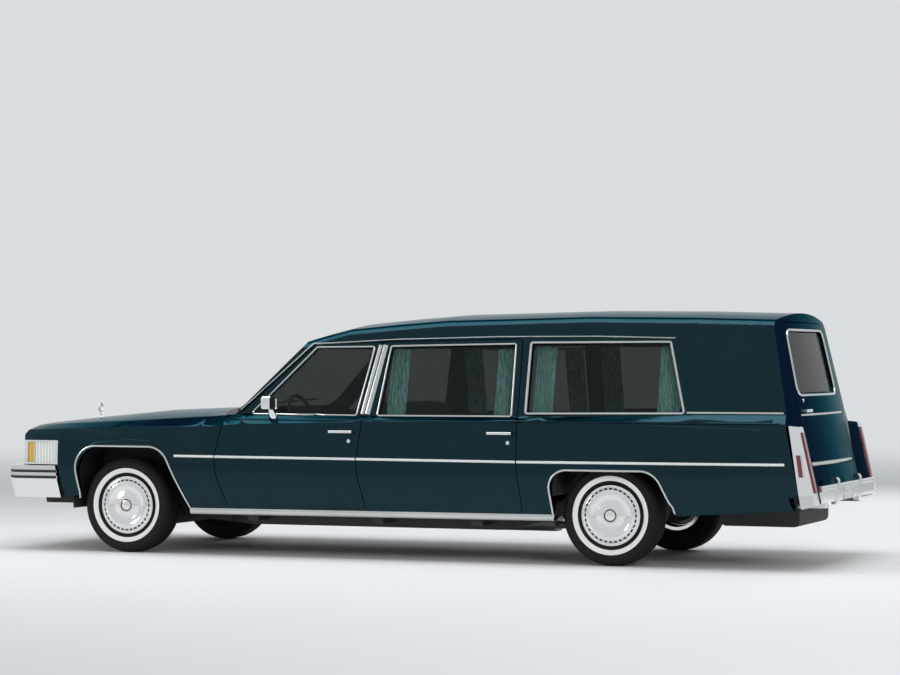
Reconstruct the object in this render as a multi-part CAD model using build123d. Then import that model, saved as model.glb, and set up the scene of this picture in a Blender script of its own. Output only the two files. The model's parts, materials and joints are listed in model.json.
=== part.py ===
from build123d import *
import math
import os

# A long commercial-chassis hearse with four side doors and one rear door.
# Frame: +X rearward, +Y to the car's right, +Z up, floor at Z = 0, X = 0 at mid-length.
# All sizes are millimetres.

# Driving dimensions
WHEELBASE = 3670.0
FRONT_OVERHANG = 1030.0
REAR_OVERHANG = 1440.0
FRONT_TRACK = 1567.0
REAR_TRACK = 1542.0
HALF_WIDTH = 976.0
BELT_Z = 998.0
ROOF_Z = 1738.0
SILL_Z = 292.0
TYRE_RADIUS = 342.0
TYRE_WIDTH = 226.0
RIM_RADIUS = 190.5

LENGTH = FRONT_OVERHANG + WHEELBASE + REAR_OVERHANG
X_NOSE = -LENGTH / 2
X_TAIL = LENGTH / 2
X_FRONT = X_NOSE + FRONT_OVERHANG
X_REAR = X_TAIL - REAR_OVERHANG

# Walls, gaps and fits
PANEL_GAP = 6.0
SKIN = 28.0
DOOR_THICK = 110.0
FENDER_THICK = 42.0
ROOF_THICK = 52.0
HOOD_THICK = 30.0
REAR_THICK = 84.0
RABBET = 24.0
RABBET_GAP = 13.0
GLASS_THICK = 6.0
GLASS_DEPTH = 16.0
SEAT_FIT = 0.3
GLASS_FIT = 0.3
SHUT_SKEW = 0.25
DOOR_REACH = 404.0

# Side doors, along the body side
DOOR_BOTTOM_Z = 349.0
DRIP_RAIL_Z = 1540.0
SIDE_LEAN = 0.23
GREEN_Y = 885.0
SHOULDER_RADIUS = 90.0
CROWN_DROP = 56.0

# Windshield and rear face
SHIELD_BASE_X = X_FRONT + 690
SHIELD_SLOPE = 42.2
SHIELD_BOW = 190.0
REAR_TOP_X = X_TAIL - 354
REAR_TOP_Z = 1664.0
REAR_LEAN = 0.219
REAR_BOW = 34.0

# Hinges and steering
KINGPIN_INSET = 93.0
SPINDLE_RADIUS = 20.0
BORE_FIT = 0.05


def corner(before, at, after, radius):
    """Start, middle and end of the arc that rounds one corner."""
    here = Vector(*at)
    back = (Vector(*before) - here).normalized()
    ahead = (Vector(*after) - here).normalized()
    half = math.radians(back.get_angle(ahead)) / 2
    reach = radius / math.tan(half)
    centre = here + (back + ahead).normalized() * (radius / math.sin(half))
    middle = centre + (here - centre).normalized() * radius
    return here + back * reach, middle, here + ahead * reach


def outline(corners):
    """Face inside a closed outline of corners (u, v) or (u, v, radius)."""
    points = [c[:2] for c in corners]
    radii = [c[2] if len(c) > 2 else 0 for c in corners]
    stops = []
    for i, (point, radius) in enumerate(zip(points, radii)):
        after = points[(i + 1) % len(points)]
        if radius:
            stops.append(corner(points[i - 1], point, after, radius))
        else:
            stops.append((Vector(*point),) * 3)
    edges = []
    for i, (start, middle, end) in enumerate(stops):
        if radii[i]:
            edges.append(ThreePointArc(start, middle, end))
        following = stops[(i + 1) % len(stops)][0]
        if (following - end).length > 1e-6:
            edges.append(Line(end, following))
    return make_face(edges)


def grown(corners, amount):
    """The same corners (u, v, radius) with every side moved outward."""
    if not amount:
        return corners
    count = len(corners)
    area = sum(
        corners[i][0] * corners[(i + 1) % count][1] - corners[(i + 1) % count][0] * corners[i][1]
        for i in range(count)
    )
    turn = 1 if area > 0 else -1
    moved = []
    for i, (u, v, radius) in enumerate(corners):
        here = Vector(u, v)
        come = (here - Vector(*corners[i - 1][:2])).normalized()
        go = (Vector(*corners[(i + 1) % count][:2]) - here).normalized()
        out_come = Vector(come.Y, -come.X) * turn
        out_go = Vector(go.Y, -go.X) * turn
        mitre = (out_come + out_go) * (amount / (1 + out_come.dot(out_go)))
        convex = (come.X * go.Y - come.Y * go.X) * turn > 0
        swell = amount if convex else -amount
        moved.append((u + mitre.X, v + mitre.Y, max(radius + swell, 0.5) if radius else 0))
    return moved


def side_prism(face, y0, y1, skew=0.0):
    """Solid from a side-view face (x, z), between two y planes."""
    placed = Plane.XZ.offset(-y0) * face
    reach = y1 - y0
    run = Vector(-skew * abs(reach), reach, 0)
    return extrude(placed, amount=run.length, dir=run.normalized())


def rear_prism(face, x0, x1):
    """Solid from a rear-view face (y, z), between two x planes."""
    return extrude(Plane.YZ.offset(x0) * face, amount=x1 - x0)


def plan_prism(face, z0, z1):
    """Solid from a plan-view face (x, y), between two heights."""
    return extrude(Plane.XY.offset(z0) * face, amount=z1 - z0)


def block(x0, x1, y0, y1, z0, z1):
    """Box between two corners."""
    centre = ((x0 + x1) / 2, (y0 + y1) / 2, (z0 + z1) / 2)
    return Pos(*centre) * Box(abs(x1 - x0), abs(y1 - y0), abs(z1 - z0))


def rod(x, y0, y1, z, radius):
    """Round bar along Y."""
    turned = Rot(90, 0, 0) * Cylinder(radius, abs(y1 - y0))
    return Pos(x, (y0 + y1) / 2, z) * turned


def both(shape):
    """A left piece and its mirror image on the right."""
    return [shape, mirror(shape, about=Plane.XZ)]


# Lower body sections, front to rear. Columns: x, half width at the widest point,
# height of the lower edge, shoulder inset and height, hood or belt edge y and z, crown z.
LOWER_SECTIONS = [
    (X_NOSE + 30, HALF_WIDTH - 84, 400, 14, 872, 700, 898, 918),
    (X_FRONT - 560, HALF_WIDTH - 40, 384, 18, 890, 748, 925, 966),
    (X_FRONT, HALF_WIDTH - 10, 352, 22, 906, 792, 952, 1020),
    (X_FRONT + 620, HALF_WIDTH - 1, 312, 24, 915, 822, 986, 1045),
    (X_FRONT + 940, HALF_WIDTH, SILL_Z, 24, 936, 866, BELT_Z + 12, 1040),
    (X_REAR - 1700, HALF_WIDTH, SILL_Z, 24, 962, GREEN_Y, BELT_Z, 1040),
    (X_REAR - 500, HALF_WIDTH, SILL_Z, 24, 972, GREEN_Y, BELT_Z, 1040),
    (X_REAR + 600, HALF_WIDTH - 8, 356, 26, 970, GREEN_Y - 2, BELT_Z + 28, 1052),
    (X_TAIL - 20, HALF_WIDTH - 44, 404, 30, 966, GREEN_Y - 30, BELT_Z + 27, 1046),
]
WIDEST_Z = 640.0
TUCK = 62.0
TUCK_BULGE = 14.0
SIDE_BULGE = 5.0


def lower_section(row, side_in, top_in, through):
    """One closed section of the lower body, inset by a wall."""
    x, wide, low, shoulder_in, shoulder_z, edge_y, edge_z, crown = row
    bottom = 60.0 if through else low
    w = wide - side_in
    tuck = (w - TUCK, bottom)
    widest = (w, WIDEST_Z)
    shoulder = (w - shoulder_in, shoulder_z - top_in)
    edge = (min(edge_y - side_in, w - shoulder_in - 5), edge_z - top_in)
    under = ((tuck[0] + widest[0]) / 2 + TUCK_BULGE, (tuck[1] + widest[1]) / 2)
    over = ((widest[0] + shoulder[0]) / 2 + SIDE_BULGE, (widest[1] + shoulder[1]) / 2)

    def other(point):
        return (-point[0], point[1])

    edges = [
        Line(other(tuck), tuck),
        ThreePointArc(tuck, under, widest),
        ThreePointArc(widest, over, shoulder),
        Line(shoulder, edge),
        ThreePointArc(edge, (0, crown - top_in), other(edge)),
        Line(other(edge), other(shoulder)),
        ThreePointArc(other(shoulder), other(over), other(widest)),
        ThreePointArc(other(widest), other(under), other(tuck)),
    ]
    return Plane.YZ.offset(x) * make_face(edges)


def lower_body(side_in=0.0, top_in=0.0, through=False):
    """The lower body as one solid from nose to tail."""
    rows = LOWER_SECTIONS
    return loft([lower_section(row, side_in, top_in, through) for row in rows], ruled=True)


# Roof sections, front to rear. Columns: x, crown height below ROOF_Z, side inset.
ROOF_SECTIONS = [
    (X_FRONT + 560, 560, 30),
    (X_FRONT + 1140, 222, 30),
    (X_FRONT + 1500, 122, 18),
    (X_FRONT + 1690, 78, 12),
    (X_FRONT + 2050, 46, 4),
    (X_REAR - 1250, 20, 0),
    (X_REAR - 200, 0, 0),
    (X_REAR + 500, 8, 4),
    (X_TAIL - 250, 28, 22),
    (X_TAIL - 120, 33, 25),
]
GREEN_LOW_Z = 860.0


def green_y(z):
    """Half width of the upper body's side at a height."""
    return GREEN_Y - SIDE_LEAN * (z - BELT_Z)


def green_section(row, wall, through):
    """One closed section of the upper body, inset by a wall."""
    x, below, inset = row
    crown = ROOF_Z - below - wall
    edge_z = crown - CROWN_DROP
    low_z = GREEN_LOW_Z
    low_y = green_y(low_z) - inset - wall
    edge_y = green_y(edge_z) - inset - wall
    radius = max(SHOULDER_RADIUS - wall, 20)
    start, middle, end = corner((low_y, low_z), (edge_y, edge_z), (0, crown), radius)

    def other(point):
        return (-point[0], point[1])

    def flat(vector):
        return (vector.X, vector.Y)

    start, middle, end = flat(start), flat(middle), flat(end)
    edges = [
        Line((-low_y, low_z), (low_y, low_z)),
        Line((low_y, low_z), start),
        ThreePointArc(start, middle, end),
        ThreePointArc(end, (0, crown), other(end)),
        ThreePointArc(other(end), other(middle), other(start)),
        Line(other(start), (-low_y, low_z)),
    ]
    return Plane.YZ.offset(x) * make_face(edges)


def green_house(wall=0.0, through=False):
    """The upper body as one solid, still square at both ends."""
    return loft([green_section(row, wall, through) for row in ROOF_SECTIONS], ruled=True)


def bow_offset(y, bow, half):
    """How far a bowed face has moved back at y, when it moves by bow at half."""
    radius = (half * half + bow * bow) / (2 * bow)
    return radius - math.sqrt(radius * radius - y * y)


WIDE = HALF_WIDTH + 130
SHIELD_Z = BELT_Z + 32
SHIELD_HALF = 850.0
REAR_HALF = 700.0
GREEN_TOP = ROOF_Z + 160


def ahead_of_shield(back=0.0):
    """Everything ahead of the bowed, leaning windshield surface, moved back."""
    slope = math.tan(math.radians(SHIELD_SLOPE))
    x = SHIELD_BASE_X + back - (SHIELD_Z - GREEN_LOW_Z + 10) / slope
    side = x + bow_offset(WIDE, SHIELD_BOW, SHIELD_HALF)
    edges = [
        ThreePointArc((side, -WIDE), (x, 0), (side, WIDE)),
        Line((side, WIDE), (x - 1500, WIDE)),
        Line((x - 1500, WIDE), (x - 1500, -WIDE)),
        Line((x - 1500, -WIDE), (side, -WIDE)),
    ]
    face = Plane.XY.offset(GREEN_LOW_Z - 10) * make_face(edges)
    rise = GREEN_TOP - GREEN_LOW_Z + 10
    run = Vector(rise / slope, 0, rise)
    return extrude(face, amount=run.length, dir=run.normalized())


def rear_face_x(y, z):
    """Where the rear surface stands at a place across the car and a height."""
    return REAR_TOP_X + REAR_BOW + (REAR_TOP_Z - z) * REAR_LEAN - bow_offset(y, REAR_BOW, REAR_HALF)


def behind_rear(ahead=0.0):
    """Everything behind the bowed, leaning rear surface, moved ahead."""
    drop = GREEN_TOP
    x = REAR_TOP_X + REAR_BOW - ahead + (REAR_TOP_Z - 0) * REAR_LEAN
    side = x - bow_offset(WIDE, REAR_BOW, REAR_HALF)
    far = x + 900
    edges = [
        ThreePointArc((side, -WIDE), (x, 0), (side, WIDE)),
        Line((side, WIDE), (far, WIDE)),
        Line((far, WIDE), (far, -WIDE)),
        Line((far, -WIDE), (side, -WIDE)),
    ]
    run = Vector(-REAR_LEAN * drop, 0, drop)
    return extrude(Plane.XY * make_face(edges), amount=run.length, dir=run.normalized())


NOSE_FACE_X = X_NOSE + 84
NOSE_BOW = 110.0
NOSE_HALF = 900.0


NOSE_LIP_Z = 846.0


def ahead_of_nose(back=0.0):
    """Everything ahead of the bowed front face and of the slope above it."""
    x = NOSE_FACE_X + back
    side = x + bow_offset(WIDE, NOSE_BOW, NOSE_HALF)
    edges = [
        ThreePointArc((side, -WIDE), (x, 0), (side, WIDE)),
        Line((side, WIDE), (x - 400, WIDE)),
        Line((x - 400, WIDE), (x - 400, -WIDE)),
        Line((x - 400, -WIDE), (side, -WIDE)),
    ]
    face = make_face(edges)
    lip = Plane.XY.offset(NOSE_LIP_Z - back * (math.sqrt(2) - 1)) * face
    slope = extrude(lip, amount=300, dir=Vector(1, 0, 1).normalized())
    return plan_prism(face, 0, GREEN_TOP) + slope


def body_solid(side_in, top_in, green_in, shield_in, rear_in, nose_in, through):
    """The whole body as one solid, each face moved in by its own wall."""
    upper = green_house(green_in) - ahead_of_shield(shield_in)
    lower = lower_body(side_in, top_in, through)
    return lower + upper - behind_rear(rear_in) - ahead_of_nose(nose_in)


def skin_y(z):
    """Half width of the body side at a height, as the shut lines see it."""
    return HALF_WIDTH if z < BELT_Z - 40 else green_y(z)


def on_skin(x, z):
    """A shut-line point, moved so that its skewed cut meets the skin at x."""
    return (x + SHUT_SKEW * (WIDE - skin_y(z)), z)


def shut_corners(points):
    """Corners of a skewed shut line from (x, z, radius) corners on the skin."""
    return [(*on_skin(x, z), radius) for x, z, radius in points]


# Shut lines of the side doors, as (x, z, corner radius), bottom first
FRONT_LINE = [
    (X_FRONT + 850, DOOR_BOTTOM_Z, 30),
    (X_FRONT + 725, 640, 420),
    (X_FRONT + 800, BELT_Z + 6, 30),
    (X_FRONT + 900, BELT_Z + 11, 20),
    (X_FRONT + 1444, 1500, 30),
]
CENTRE_LINE = [
    (X_REAR - 1755, DOOR_BOTTOM_Z, 0),
    (X_REAR - 1836, 650, 420),
    (X_REAR - 1804, BELT_Z - 6, 120),
    (X_REAR - 1700, 1520, 0),
]
REAR_LINE = [
    (X_REAR - 596, DOOR_BOTTOM_Z, 0),
    (X_REAR - 640, 640, 420),
    (X_REAR - 662, BELT_Z - 6, 300),
    (X_REAR - 664, 1536, 0),
]


def door_outline(front, rear, top_radius=26, bottom_radius=30):
    """Closed shut line of a door between its front and rear lines."""
    front = [list(p) for p in front]
    rear = [list(p) for p in rear]
    front[0][2] = bottom_radius
    rear[0][2] = bottom_radius
    front[-1][2] = top_radius
    rear[-1][2] = top_radius
    return shut_corners(front + rear[::-1])


FRONT_DOOR = door_outline(FRONT_LINE, CENTRE_LINE)
REAR_DOOR = door_outline(CENTRE_LINE, REAR_LINE)


def door_prism(corners, grow):
    """Skewed prism of a door's outline on the left side, grown or shrunk."""
    return side_prism(outline(grown(corners, grow)), -WIDE, -WIDE + DOOR_REACH, SHUT_SKEW)


# Window openings as (x, z, corner radius) on the glass
FRONT_WINDOW = [
    (X_FRONT + 988, BELT_Z + 12, 14),
    (X_REAR - 1868, BELT_Z + 10, 14),
    (X_REAR - 1771, 1480, 14),
    (X_REAR - 2212, 1474, 14),
]
REAR_WINDOW = [
    (X_REAR - 1697, BELT_Z + 8, 14),
    (X_REAR - 712, BELT_Z + 10, 14),
    (X_REAR - 716, 1498, 14),
    (X_REAR - 1634, 1484, 14),
]
QUARTER_WINDOW = [
    (X_REAR - 598, BELT_Z + 30, 14),
    (X_REAR + 508, BELT_Z + 38, 14),
    (X_REAR + 385, 1508, 14),
    (X_REAR - 594, 1506, 14),
]


def window_prism(corners, grow=0.0):
    """Straight prism of a side window on the left."""
    return side_prism(outline(grown(corners, grow)), -WIDE, -WIDE + DOOR_REACH)


# Rear door, seen from behind as (y, z, corner radius)
REAR_DOOR_HALF = 622.0
REAR_DOOR_LOW = 676.0
REAR_DOOR_HIGH = 1640.0
REAR_GLASS_LOW = 1165.0
REAR_GLASS_HIGH = 1582.0
REAR_PLANE = Plane(origin=(REAR_TOP_X, 0, REAR_TOP_Z), x_dir=(0, 1, 0), z_dir=(1, 0, REAR_LEAN))


def rear_corners(corners):
    """Corners on the leaning rear plane from corners (y, z, radius)."""
    stretch = math.hypot(1, REAR_LEAN)
    return [(y, (z - REAR_TOP_Z) * stretch, r) for y, z, r in corners]


REAR_DOOR_FACE = rear_corners(
    [
        (-REAR_DOOR_HALF, REAR_DOOR_LOW, 24),
        (REAR_DOOR_HALF, REAR_DOOR_LOW, 24),
        (REAR_DOOR_HALF, BELT_Z, 500),
        (REAR_DOOR_HALF - 50, REAR_DOOR_HIGH, 90),
        (-REAR_DOOR_HALF + 50, REAR_DOOR_HIGH, 90),
        (-REAR_DOOR_HALF, BELT_Z, 500),
    ]
)
REAR_GLASS_FACE = rear_corners(
    [
        (-540, REAR_GLASS_LOW, 60),
        (540, REAR_GLASS_LOW, 60),
        (502, REAR_GLASS_HIGH, 70),
        (-502, REAR_GLASS_HIGH, 70),
    ]
)


def rear_slot(corners, grow=0.0, ahead=180.0, behind=120.0):
    """Prism of an outline square through the leaning rear wall."""
    start = REAR_PLANE.offset(-ahead) * outline(grown(corners, grow))
    return extrude(start, amount=ahead + behind, dir=REAR_PLANE.z_dir)


# Hood and front-end outlines
LAMP_RIM = 12.0
HOOD_FRONT_X = X_NOSE + 118
HOOD_REAR_X = SHIELD_BASE_X - 96
HOOD_FRONT_Y = 700.0
HOOD_REAR_Y = 812.0
FIREWALL_X = SHIELD_BASE_X + 84
COWL_Y = HOOD_REAR_Y + PANEL_GAP / 2
NOSE_PANEL_Y = 392.0
LAMP_LOW_Z = 630.0
LAMP_HIGH_Z = 805.0
LAMP_REAR_X = X_NOSE + 487
LAMP_INNER_Y = 396.0


def hood_outline():
    """Plan outline of the hood, bowed like the windshield at its rear edge."""
    rear_side = HOOD_REAR_X + bow_offset(HOOD_REAR_Y, SHIELD_BOW, SHIELD_HALF)
    front_side = HOOD_FRONT_X + bow_offset(HOOD_FRONT_Y, NOSE_BOW, NOSE_HALF)
    edges = [
        ThreePointArc((rear_side, -HOOD_REAR_Y), (HOOD_REAR_X, 0), (rear_side, HOOD_REAR_Y)),
        Line((rear_side, HOOD_REAR_Y), (front_side, HOOD_FRONT_Y)),
        ThreePointArc((front_side, HOOD_FRONT_Y), (HOOD_FRONT_X, 0), (front_side, -HOOD_FRONT_Y)),
        Line((front_side, -HOOD_FRONT_Y), (rear_side, -HOOD_REAR_Y)),
    ]
    return make_face(edges)


def arch_prism(x, corners, y0, y1):
    """Prism of a wheel arch about an axle at x."""
    face = outline([(x + dx, z, r) for dx, z, r in corners])
    return side_prism(face, y0, y1)


# Wheel arches as (x from the axle, z, corner radius)
FRONT_ARCH = [(-324, 150, 0), (-407, 763, 190), (318, 763, 170), (566, 260, 60), (566, 150, 0)]
REAR_ARCH = [(-366, 150, 0), (-420, 643, 120), (330, 643, 150), (486, 300, 60), (486, 150, 0)]
FRONT_WELL = [(-434, 150, 0), (-434, 792, 200), (450, 792, 200), (600, 260, 60), (600, 150, 0)]
REAR_WELL = [(-396, 150, 0), (-396, 752, 200), (396, 752, 200), (486, 300, 60), (486, 150, 0)]
WELL_WALL = 10.0


def build_shells():
    """The outer body and its nested insets, cut into layers."""
    outer = body_solid(0, 0, 0, 0, 0, 0, False)
    middle = body_solid(SKIN, 40, 22, 26, 30, 60, True)
    inner = body_solid(DOOR_THICK, 60, ROOF_THICK, 60, REAR_THICK, 60, True)
    cabin = inner & block(X_FRONT + 690, X_TAIL + 50, -WIDE, WIDE, 0, GREEN_TOP)
    bay = body_solid(FENDER_THICK, HOOD_THICK, 0, 0, 0, 46, True)
    bay = bay & block(X_NOSE, FIREWALL_X, -WIDE, WIDE, 0, GREEN_TOP)
    return outer, middle, cabin, bay


def solids_over(shape, volume):
    """Only the solids of a shape that are larger than a volume."""
    kept = [s for s in shape.solids() if s.volume > volume]
    return Compound(children=kept) if len(kept) > 1 else kept[0]


def side_region(x0, x1, z0, z1):
    """The left half of the body between two stations and two heights."""
    return block(x0, x1, -WIDE, 0, z0, z1)


def make_door(skin, core, face, window, inside):
    """A left door: skin with its deeper inner frame, window cut, inner pieces on."""
    panel = (skin & door_prism(face, -PANEL_GAP / 2)) + (core & door_prism(face, -RABBET))
    panel = panel - window_prism(window)
    return solids_over(panel, 1e6) + inside


HANDLE_Z = 890.0
HANDLE_LENGTH = 176.0
HANDLE_OUT = 40.0
LOCK_RADIUS = 13.0
LOCK_OUT = 20.0


def make_handle(x, skin_at):
    """Pull handle on two posts with a round lock below, on the left side."""
    half = HANDLE_LENGTH / 2
    out_y = -skin_at - HANDLE_OUT
    bar = block(x - half, x + half, out_y, out_y + 12, HANDLE_Z - 9, HANDLE_Z + 9)
    bar = fillet(bar.edges().filter_by(Axis.X), 4)
    posts = []
    for at in (x - half + 16, x + half - 16):
        posts.append(block(at - 12, at + 12, out_y + 4, -skin_at + 60, HANDLE_Z - 8, HANDLE_Z + 8))
    lock = rod(x + half - 30, -skin_at - LOCK_OUT, -skin_at + 60, HANDLE_Z - 64, LOCK_RADIUS)
    return [Part() + bar + posts, Part() + lock]


def make_mirror():
    """Door mirror on its stalk, on the left front door."""
    x = X_FRONT + 1182
    head = outline([(-1060, 1044, 16), (-932, 1036, 16), (-932, 1128, 22), (-1060, 1138, 22)])
    head = rear_prism(head, x - 34, x + 40)
    head = fillet(head.faces().sort_by(Axis.X)[0].edges(), 18)
    pocket = outline([(-1052, 1052, 10), (-940, 1046, 10), (-940, 1120, 14), (-1052, 1129, 14)])
    pocket = rear_prism(pocket, x + 34, x + 42)
    stalk = loft(
        [
            Plane((x, -900, 962), x_dir=(1, 0, 0), z_dir=(0, -0.5, 1)) * Ellipse(40, 20),
            Plane((x, -962, 1052), x_dir=(1, 0, 0), z_dir=(0, -0.3, 1)) * Ellipse(18, 12),
        ],
        ruled=True,
    )
    return head - pocket + stalk


def swap_side(shape):
    """The mirror image on the right of a left piece."""
    return mirror(shape, about=Plane.XZ)


def export(shape, name):
    """One node's STEP file."""
    solid = shape if isinstance(shape, (Compound, Solid)) else Compound(children=list(shape))
    export_step(solid, f"parts/{name}.step")


def pair(left):
    """Left piece and right mirror as one node's solids."""
    solids = list(left.solids()) + list(swap_side(left).solids())
    return Compound(children=solids)


# Frame rails, as (x, y, z) of the left rail's centre line
RAIL_WIDTH = 70.0
RAIL_HEIGHT = 96.0
RAIL_PATH = [
    (X_NOSE + 120, -420, 372),
    (X_FRONT - 420, -420, 372),
    (X_FRONT + 300, -420, 290),
    (X_FRONT + 640, -420, 262),
    (X_FRONT + 900, -650, 262),
    (X_REAR - 860, -650, 262),
    (X_REAR - 520, -520, 330),
    (X_REAR - 260, -500, 500),
    (X_REAR + 420, -500, 500),
    (X_REAR + 700, -500, 440),
    (X_TAIL - 236, -500, 440),
]
# Crossmembers: x, z, width along x, height
CROSSMEMBERS = [
    (X_NOSE + 190, 372, 90, 70),
    (X_FRONT, 262, 190, 170),
    (X_FRONT + 1010, 262, 110, 70),
    (X_REAR - 1500, 262, 110, 70),
    (X_REAR - 400, 432, 80, 50),
    (X_REAR + 560, 470, 90, 70),
    (X_TAIL - 280, 440, 80, 70),
]


SPRING_TOP_Z = 452.0
OUTRIGGERS = [X_FRONT + 1010, X_REAR - 1700, X_REAR - 960]


def make_frame():
    """Two bent side rails joined by crossmembers."""
    rail = Part()
    for start, end in zip(RAIL_PATH, RAIL_PATH[1:]):
        rail = rail + rail_run(Vector(*start), Vector(*end))
    frame = rail + swap_side(rail)
    for x, z, along, high in CROSSMEMBERS:
        reach = rail_y_at(x)
        frame = frame + block(x - along / 2, x + along / 2, -reach, reach, z - high / 2, z + high / 2)
    rail_top = RAIL_PATH[2][2] + RAIL_HEIGHT / 2
    for side in (-1, 1):
        outer_y = side * (420 + RAIL_WIDTH / 2)
        frame = frame + block(X_FRONT - 90, X_FRONT + 90, side * 400, outer_y, rail_top - 10, TYRE_RADIUS + 168)
        frame = frame + block(X_FRONT - 60, X_FRONT + 60, outer_y, side * 606, SPRING_TOP_Z, SPRING_TOP_Z + 16)
        for x in OUTRIGGERS:
            frame = frame + block(x - 40, x + 40, side * 620, side * 880, SILL_Z - 40, SILL_Z)
    return frame


def rail_y_at(x):
    """Distance of the rail's centre line from the middle at x."""
    for start, end in zip(RAIL_PATH, RAIL_PATH[1:]):
        if start[0] <= x <= end[0]:
            share = (x - start[0]) / (end[0] - start[0])
            return abs(start[1] + share * (end[1] - start[1]))
    return abs(RAIL_PATH[-1][1])


def rail_run(start, end):
    """One straight run of rail between two points, upright at both ends."""
    ends = []
    for point in (start, end):
        plane = Plane(origin=point, x_dir=(0, 1, 0), z_dir=(1, 0, 0))
        ends.append(plane * Rectangle(RAIL_WIDTH, RAIL_HEIGHT))
    return loft(ends, ruled=True)


FLOOR_Z = 310.0
FLOOR_THICK = 16.0
DECK_Z = 676.0
DECK_THICK = 22.0
RISER_X = X_REAR - 1640
CABIN_Y = 836.0
DECK_Y = 812.0
TUNNEL_Y = 150.0
TUNNEL_Z = 520.0


def make_underbody():
    """Cabin floor, tunnel, firewall, riser and load-space underside."""
    floor = block(FIREWALL_X, RISER_X + 16, -CABIN_Y, CABIN_Y, FLOOR_Z, FLOOR_Z + FLOOR_THICK)
    tunnel = block(FIREWALL_X, RISER_X + 16, -TUNNEL_Y, TUNNEL_Y, FLOOR_Z, TUNNEL_Z)
    hollow = block(FIREWALL_X - 10, RISER_X + 40, -TUNNEL_Y + 12, TUNNEL_Y - 12, FLOOR_Z - 40, TUNNEL_Z - 12)
    wall_face = outline(
        [
            (-CABIN_Y, FLOOR_Z),
            (CABIN_Y, FLOOR_Z),
            (CABIN_Y - 10, 820),
            (730, BELT_Z - 60),
            (0, BELT_Z + 16),
            (-730, BELT_Z - 60),
            (-CABIN_Y + 10, 820),
        ]
    )
    wall = rear_prism(wall_face, FIREWALL_X, FIREWALL_X + 16)
    riser = block(RISER_X, RISER_X + 16, -CABIN_Y, CABIN_Y, FLOOR_Z, DECK_Z - DECK_THICK)
    return floor + wall + riser + tunnel - hollow


def make_cowl(hood_cut):
    """Cowl panel between the hood and the windshield."""
    plate = lower_body() - lower_body(FENDER_THICK, HOOD_THICK, True)
    zone = block(HOOD_REAR_X - 20, X_FRONT + 930, -COWL_Y + SEAT_FIT, COWL_Y - SEAT_FIT, 880, GREEN_TOP)
    return (plate & zone) - hood_cut


PAD_HEIGHTS = [(470, 530), (800, 860)]


def door_pads(corners, edge_x):
    """Hinge seats that fill the inner gap at a left door's front edge."""
    gap = door_prism(corners, -RABBET + RABBET_GAP + 4) - door_prism(corners, -RABBET + SEAT_FIT)
    pads = []
    for low, high in PAD_HEIGHTS:
        pads += (gap & block(edge_x - 120, edge_x + 160, -924, -880, low, high)).solids()
    return pads


ROLLER_RADIUS = 16.0
DECK_END_X = X_TAIL - 240


def make_deck():
    """Flat load floor with skid rails and cross rollers."""
    deck = block(RISER_X, DECK_END_X, -DECK_Y, DECK_Y, DECK_Z - DECK_THICK, DECK_Z)
    well = arch_prism(X_REAR, REAR_WELL, -CABIN_Y - 40, -WELL_Y + 6)
    deck = deck - well - swap_side(well)
    for y in (-430, -150, 150, 430):
        deck = deck + block(RISER_X + 120, DECK_END_X - 60, y - 16, y + 16, DECK_Z, DECK_Z + 12)
    for step in range(6):
        x = RISER_X + 330 + step * 440
        deck = deck + rod(x, -300, 300, DECK_Z + 6, ROLLER_RADIUS)
    return deck


WELL_Y = 630.0
FRONT_WELL_Y = 470.0


def make_well(x, corners, inner_y, wall_z):
    """Left wheelhouse: an arched tunnel closed by an inner wall."""
    outer = arch_prism(x, corners, -HALF_WIDTH + 4, -inner_y)
    hole = outline(grown([(x + dx, z, r) for dx, z, r in corners], -WELL_WALL))
    inner = side_prism(hole, -HALF_WIDTH - 10, -inner_y - WELL_WALL)
    return (outer - inner) & block(x - 900, x + 900, -HALF_WIDTH, 0, wall_z, 1000)


def make_fenders(outer, bay, cabin, hood_cut, nose_cut, lamp_cut):
    """Left front fender with its wheelhouse."""
    shell = (outer - bay - cabin) & side_region(X_NOSE, X_FRONT + 900, 0, BELT_Z + 60)
    behind = [(X_FRONT + 1300, 0, 0), (X_FRONT + 850, 0, 0)] + FRONT_LINE[:3] + [(X_FRONT + 1300, BELT_Z + 6, 0)]
    shell = shell - door_prism(FRONT_DOOR, PANEL_GAP / 2)
    shell = shell - door_prism(shut_corners(behind), PANEL_GAP / 2)
    shell = shell - hood_cut - nose_cut - lamp_cut
    shell = shell - block(HOOD_REAR_X - 20, X_FRONT + 1400, -COWL_Y, 0, 0, GREEN_TOP)
    return shell - arch_prism(X_FRONT, FRONT_ARCH, -WIDE, -400)


# Wheels, tyres and hubs
COVER_RADIUS = 206.0
RIM_HALF = 84.0
HUB_RADIUS = 62.0
DISC_BACK = 20.0
DRUM_RADIUS = 128.0


def revolve_y(points, x, y, z):
    """Body turned about the axle, from (radius, outward) corners, on the left side."""
    face = Plane.XZ * outline([(p[0], p[1], *p[2:]) for p in points])
    turned = revolve(face, axis=Axis.Z)
    return Pos(x, y, z) * (Rot(90, 0, 0) * turned)


def make_tyre(x, y):
    """Tyre with rounded shoulders, seated on its rim."""
    half = TYRE_WIDTH / 2
    bead = 74.0
    points = [
        (RIM_RADIUS, -bead),
        (RIM_RADIUS + 30, -bead - 14, 30),
        (RIM_RADIUS + 82, -half, 60),
        (TYRE_RADIUS - 14, -half + 14, 26),
        (TYRE_RADIUS, -half + 46, 40),
        (TYRE_RADIUS, half - 46, 40),
        (TYRE_RADIUS - 14, half - 14, 26),
        (RIM_RADIUS + 82, half, 60),
        (RIM_RADIUS + 30, bead + 14, 30),
        (RIM_RADIUS, bead),
    ]
    return revolve_y(points, x, y, TYRE_RADIUS)


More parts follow.
